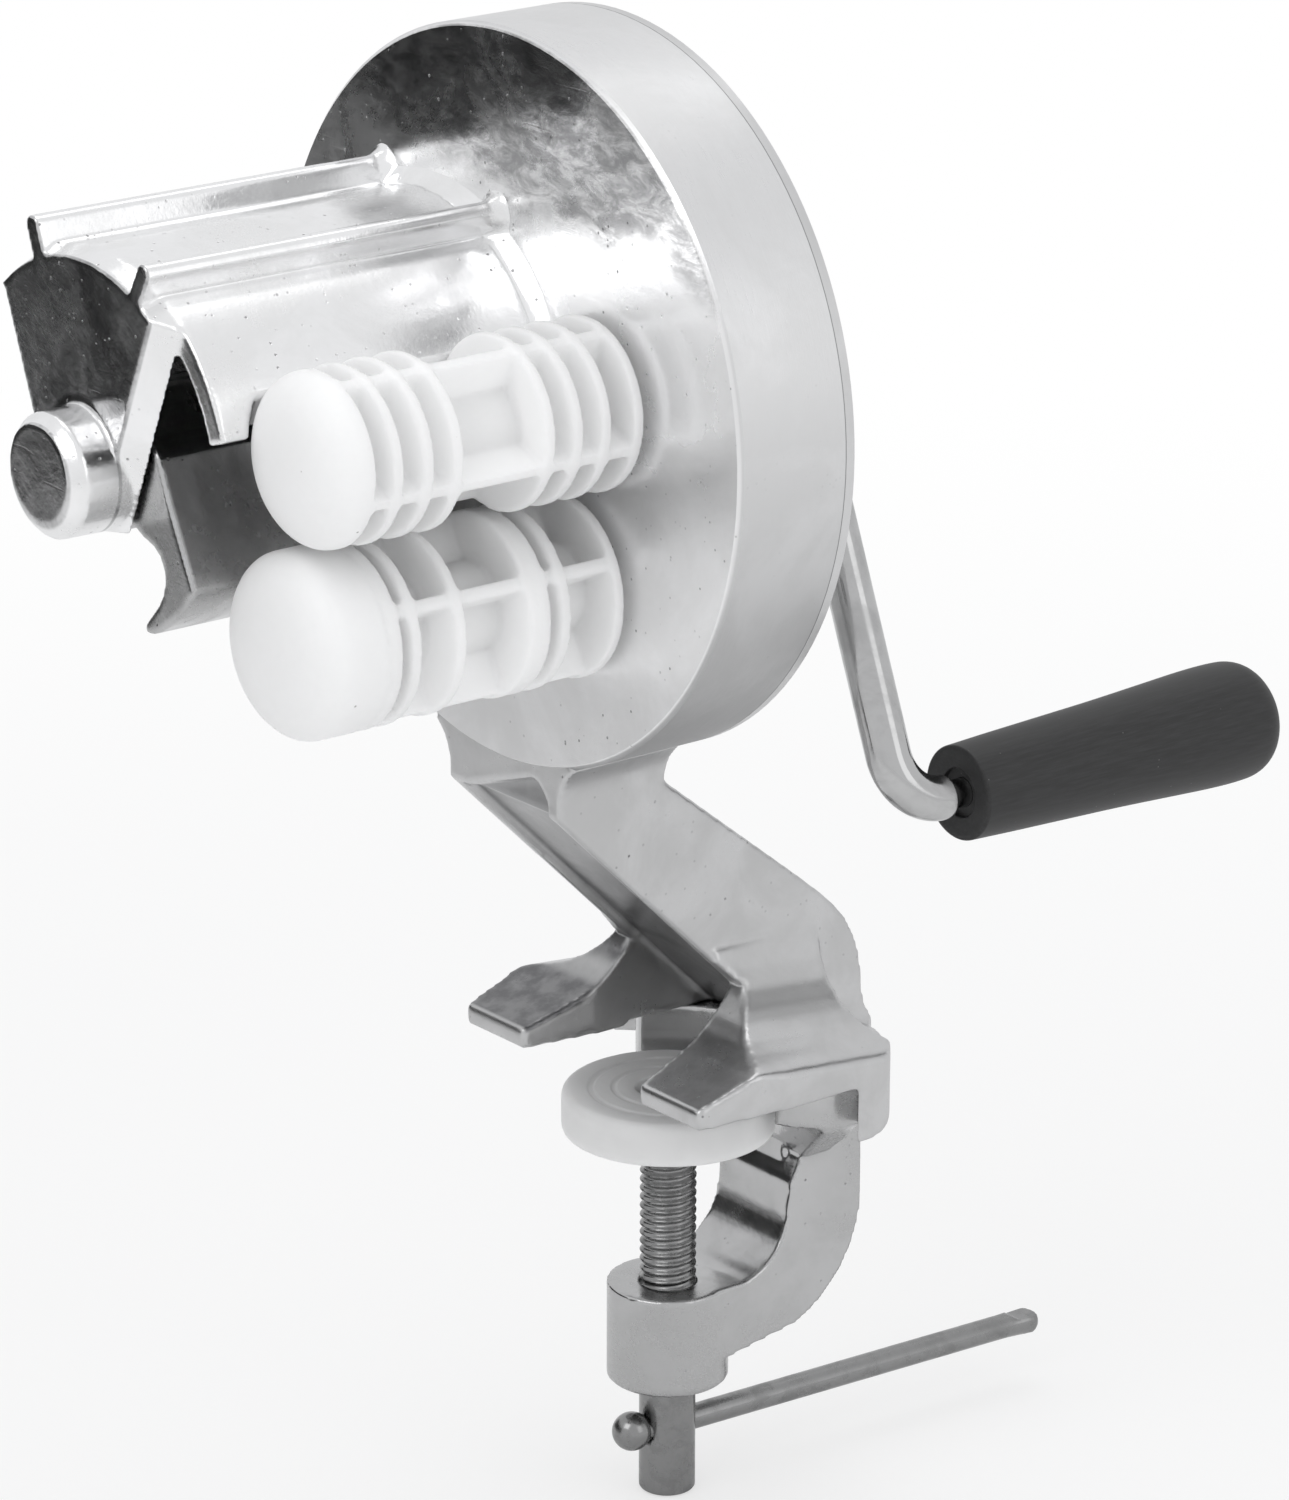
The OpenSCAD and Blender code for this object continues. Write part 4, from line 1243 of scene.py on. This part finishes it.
@dataclass
class Crank:
    """Collar, bent rod, grip, washer and nut.

    Args:
        angle: direction of the arm at rest, down from +X, in degrees.
        throw: radius at which the grip turns.
        rod_r: radius of the rod.
        spindle_r: radius of the thinner end.
        plane: Y of the straight stretch's axis.
        bends: radii of the inner and the outer bend.
        start: Y of the rod's near end.
        tip: Y of the spindle's far end.
        grip: Y of the grip's near end, its length, and its two radii.
    """

    angle: float = 68.2
    throw: float = 91.5
    rod_r: float = 4.6
    spindle_r: float = 3.0
    plane: float = 6.5
    bends: tuple[float, float] = (11.0, 11.0)
    start: float = -9.5
    tip: float = 100.9
    grip: tuple[float, float, float, float] = (21.4, 80.5, 9.9, 12.7)

    def rod_path(self) -> tuple[np.ndarray, np.ndarray]:
        """The rod's centre line and radius.

        In the plane of the arm's direction u and Y: a straight start, a quarter circle, a straight
        stretch along u, a quarter circle back to Y, and the spindle.
        """
        inner, outer = self.bends
        q = np.linspace(0, math.pi / 2, 20)
        y_in, y_out = self.plane - inner, self.plane + outer
        turn_in = self.throw - outer
        u = np.concatenate([
            np.zeros(4),
            inner - inner * np.cos(q),
            np.linspace(inner + 2, turn_in - 2, 10),
            turn_in + outer * np.sin(q),
            np.full(9, self.throw),
        ])
        tail = np.array([0.1, 0.3, 0.45, 0.48, 0.9, 20, 50]) + y_out
        y = np.concatenate([
            np.linspace(self.start, y_in - 0.6, 4),
            y_in + inner * np.sin(q),
            np.full(10, self.plane),
            self.plane + outer - outer * np.cos(q),
            tail,
            [self.tip - 0.5, self.tip],
        ])
        r = np.full(len(u), self.rod_r)
        r[-8:] = [4.45, 4.2, self.spindle_r] + [self.spindle_r - 0.02] * 4 + [2.5]
        a = math.radians(self.angle)
        path = np.stack([DRIVE[0] + u * math.cos(a), y, DRIVE[1] - u * math.sin(a)], axis=1)
        return path, r

    def grip_at(self) -> tuple[float, float]:
        """X and Z of the grip's axis."""
        a = math.radians(self.angle)
        return DRIVE[0] + self.throw * math.cos(a), DRIVE[1] - self.throw * math.sin(a)

    def grip_surface(self) -> Surface:
        """The grip, turned about its axis, with a recess at each end and a bore that clears the spindle."""
        y, long, near, far = self.grip
        end = y + long
        profile = rounded_profile([
            (y + 1.5, 3.05, 0.1), (y + 1.5, 5.0, 0.2), (y + 0.3, 5.1, 0.3), (y, near - 0.8, 0.6),
            (y + 0.3, near - 0.1, 0.3), (y + 11, near + 0.35, 1), (y + 40, near + 1.35, 6),
            (end - 12, far, 8), (end - 3.4, far - 0.35, 3.2), (end, far - 4.0, 3.0),
            (end, 7.9, 0.6), (end - 7, 7.6, 0.3), (end - 7, 3.05, 0.1),
        ], 7)
        return turned_band(profile, Axis.Y, self.grip_at(), 112)

    def build(self) -> None:
        """Makes the rod and the grip and dresses the small parts."""
        rod = write_mesh("bent_rod", swept(*self.rod_path(), cols=56))
        adopt(rod, "crank", "crank_chrome", CHROME, "crank_rod")
        grip = write_mesh("turned_grip", self.grip_surface())
        adopt(grip, "grip", "grip_plastic", GRIP, "crank_grip")
        dress("crank_collar", CHROME)
        for node in ("collar_screws", "grip_washer", "grip_nut"):
            dress(node, SMALL)


# Studio


@dataclass
class Studio:
    """Camera, pale floor, soft lamps and the dark card that the polished faces mirror, in metres.

    Args:
        eye: where the camera is.
        right: the camera's right.
        up: the camera's up.
        back: the direction from the object to the camera.
        focal: focal length in mm.
        floor_z: height of the floor, just under the screw.
        floor_r: half the floor's side.
        floor_tone: grey of the floor.
        surround: strength of the white surroundings.
        aim: the point that all lamps face.
        card_ends: X and Y of the dark card's two ends.
        card_z: its lowest and highest Z.
    """

    eye: tuple[float, float, float] = (0.98594, -0.79269, 0.49482)
    right: tuple[float, float, float] = (0.62254, 0.78258, 0.00301)
    up: tuple[float, float, float] = (-0.25286, 0.19751, 0.94713)
    back: tuple[float, float, float] = (0.74061, -0.59038, 0.32084)
    focal: float = 156.0
    floor_z: float = -0.0997
    floor_r: float = 3.0
    floor_tone: float = 0.9
    surround: float = 0.84
    aim: tuple[float, float, float] = (0.0, 0.0, 0.1)
    card_ends: tuple[tuple[float, float], ...] = ((-1.1, -0.087), (-0.25, -1.015))
    card_z: tuple[float, float] = (-0.1, 0.34)

    def camera(self) -> None:
        """Places the camera at the photograph's viewpoint."""
        data = bpy.data.cameras.new("photo camera")
        data.sensor_width, data.lens = 36.0, self.focal
        data.clip_start, data.clip_end = 0.05, 30.0
        held = bpy.data.objects.new("photo camera", data)
        turn = Matrix((self.right, self.up, self.back)).transposed()
        held.rotation_mode = "QUATERNION"
        held.rotation_quaternion = turn.to_quaternion()
        held.location = self.eye
        bpy.context.scene.collection.objects.link(held)
        bpy.context.scene.camera = held

    def lamp(self, name: str, place: Sequence[float], size: Sequence[float], power: float) -> None:
        """A soft rectangular lamp that faces the object.

        Args:
            name: its name.
            place: where it is.
            size: its width and height.
            power: its power in watts.
        """
        data = bpy.data.lights.new(name, "AREA")
        data.shape, data.size, data.size_y, data.energy = "RECTANGLE", size[0], size[1], power
        held = bpy.data.objects.new(name, data)
        held.location = place
        way = Vector(self.aim) - Vector(place)
        held.rotation_mode = "QUATERNION"
        held.rotation_quaternion = way.to_track_quat("-Z", "Y")
        bpy.context.scene.collection.objects.link(held)

    def sheet(self, corners: Sequence[Sequence[float]], paint: bpy.types.Material) -> bpy.types.Object:
        """A flat stage piece from four corners, named after its material."""
        name = paint.name
        mesh = bpy.data.meshes.new(name)
        mesh.from_pydata([tuple(c) for c in corners], [], [(0, 1, 2, 3)])
        mesh.materials.append(paint)
        held = bpy.data.objects.new(name, mesh)
        bpy.context.scene.collection.objects.link(held)
        return held

    def floor(self) -> None:
        """A pale floor that keeps the shadow near the object and goes to white around it."""
        p = Paint("floor")
        at = p.node("ShaderNodeTexCoord", out="Object")
        x, y, _ = p.parts(at)
        away = (x * x + y * y).root().ramp(0.25, 0.9)
        path = p.node("ShaderNodeLightPath")
        seen = Value(p, path.socket.node.outputs["Is Camera Ray"])
        plain = p.node("ShaderNodeBsdfDiffuse", None, {"Color": (self.floor_tone,) * 3 + (1.0,)})
        white = p.node("ShaderNodeEmission", None, {"Color": (1, 1, 1, 1), "Strength": 1.0})
        made = p.node("ShaderNodeMixShader", None, {0: seen * (0.6 + 0.4 * away), 1: plain, 2: white})
        p.tree.links.new(made.socket, p.out.inputs["Surface"])
        r, z = self.floor_r, self.floor_z
        self.sheet([(-r, -r, z), (r, -r, z), (r, r, z), (-r, r, z)], p.held)

    def card(self, tone: float) -> None:
        """A matt dark card beside the set, which reflections see and the camera doesn't."""
        (near, far), (low, high) = self.card_ends, self.card_z
        corners = [(*near, low), (*far, low), (*far, high), (*near, high)]
        p = Paint("dark card")
        made = p.node("ShaderNodeBsdfDiffuse", None, {"Color": (tone, tone, tone, 1.0)})
        p.tree.links.new(made.socket, p.out.inputs["Surface"])
        self.sheet(corners, p.held).visible_camera = False

    def world(self) -> None:
        """Even white surroundings, seen as white by the camera."""
        held = bpy.data.worlds.new("studio")
        bpy.context.scene.world = held
        held.use_nodes = True
        tree = held.node_tree
        tree.nodes.clear()
        out = tree.nodes.new("ShaderNodeOutputWorld")
        path = tree.nodes.new("ShaderNodeLightPath")
        mix = tree.nodes.new("ShaderNodeMixShader")
        soft = tree.nodes.new("ShaderNodeBackground")
        soft.inputs["Color"].default_value = (0.985, 0.99, 1.0, 1.0)
        soft.inputs["Strength"].default_value = self.surround
        white = tree.nodes.new("ShaderNodeBackground")
        white.inputs["Color"].default_value = (1, 1, 1, 1)
        tree.links.new(path.outputs["Is Camera Ray"], mix.inputs[0])
        tree.links.new(soft.outputs[0], mix.inputs[1])
        tree.links.new(white.outputs[0], mix.inputs[2])
        tree.links.new(mix.outputs[0], out.inputs["Surface"])

    def build(self) -> None:
        """Sets up the whole studio."""
        scene = bpy.context.scene
        scene.view_settings.view_transform = "Standard"
        self.camera()
        self.world()
        self.floor()
        self.lamp("key", (0.2, -1.1, 1.2), (0.9, 0.9), 3.6)
        self.lamp("fill", (1.5, 0.5, 0.7), (0.8, 1.1), 1.5)
        self.lamp("top", (-0.3, 0.3, 1.5), (1.0, 0.8), 2.4)
        self.card(0.04)


def main() -> None:
    """Builds every sub-assembly, then the studio."""
    logging.basicConfig(level=logging.INFO, format="%(name)s: %(message)s")
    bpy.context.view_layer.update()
    for part in (Housing(), Stand(), TableClamp(), RollerPair(), RotorSet(), GearTrain(), Crank()):
        part.build()
        log.info("built %s", type(part).__name__)
    Studio().build()
    bpy.context.view_layer.update()


if __name__ == "__main__":
    main()
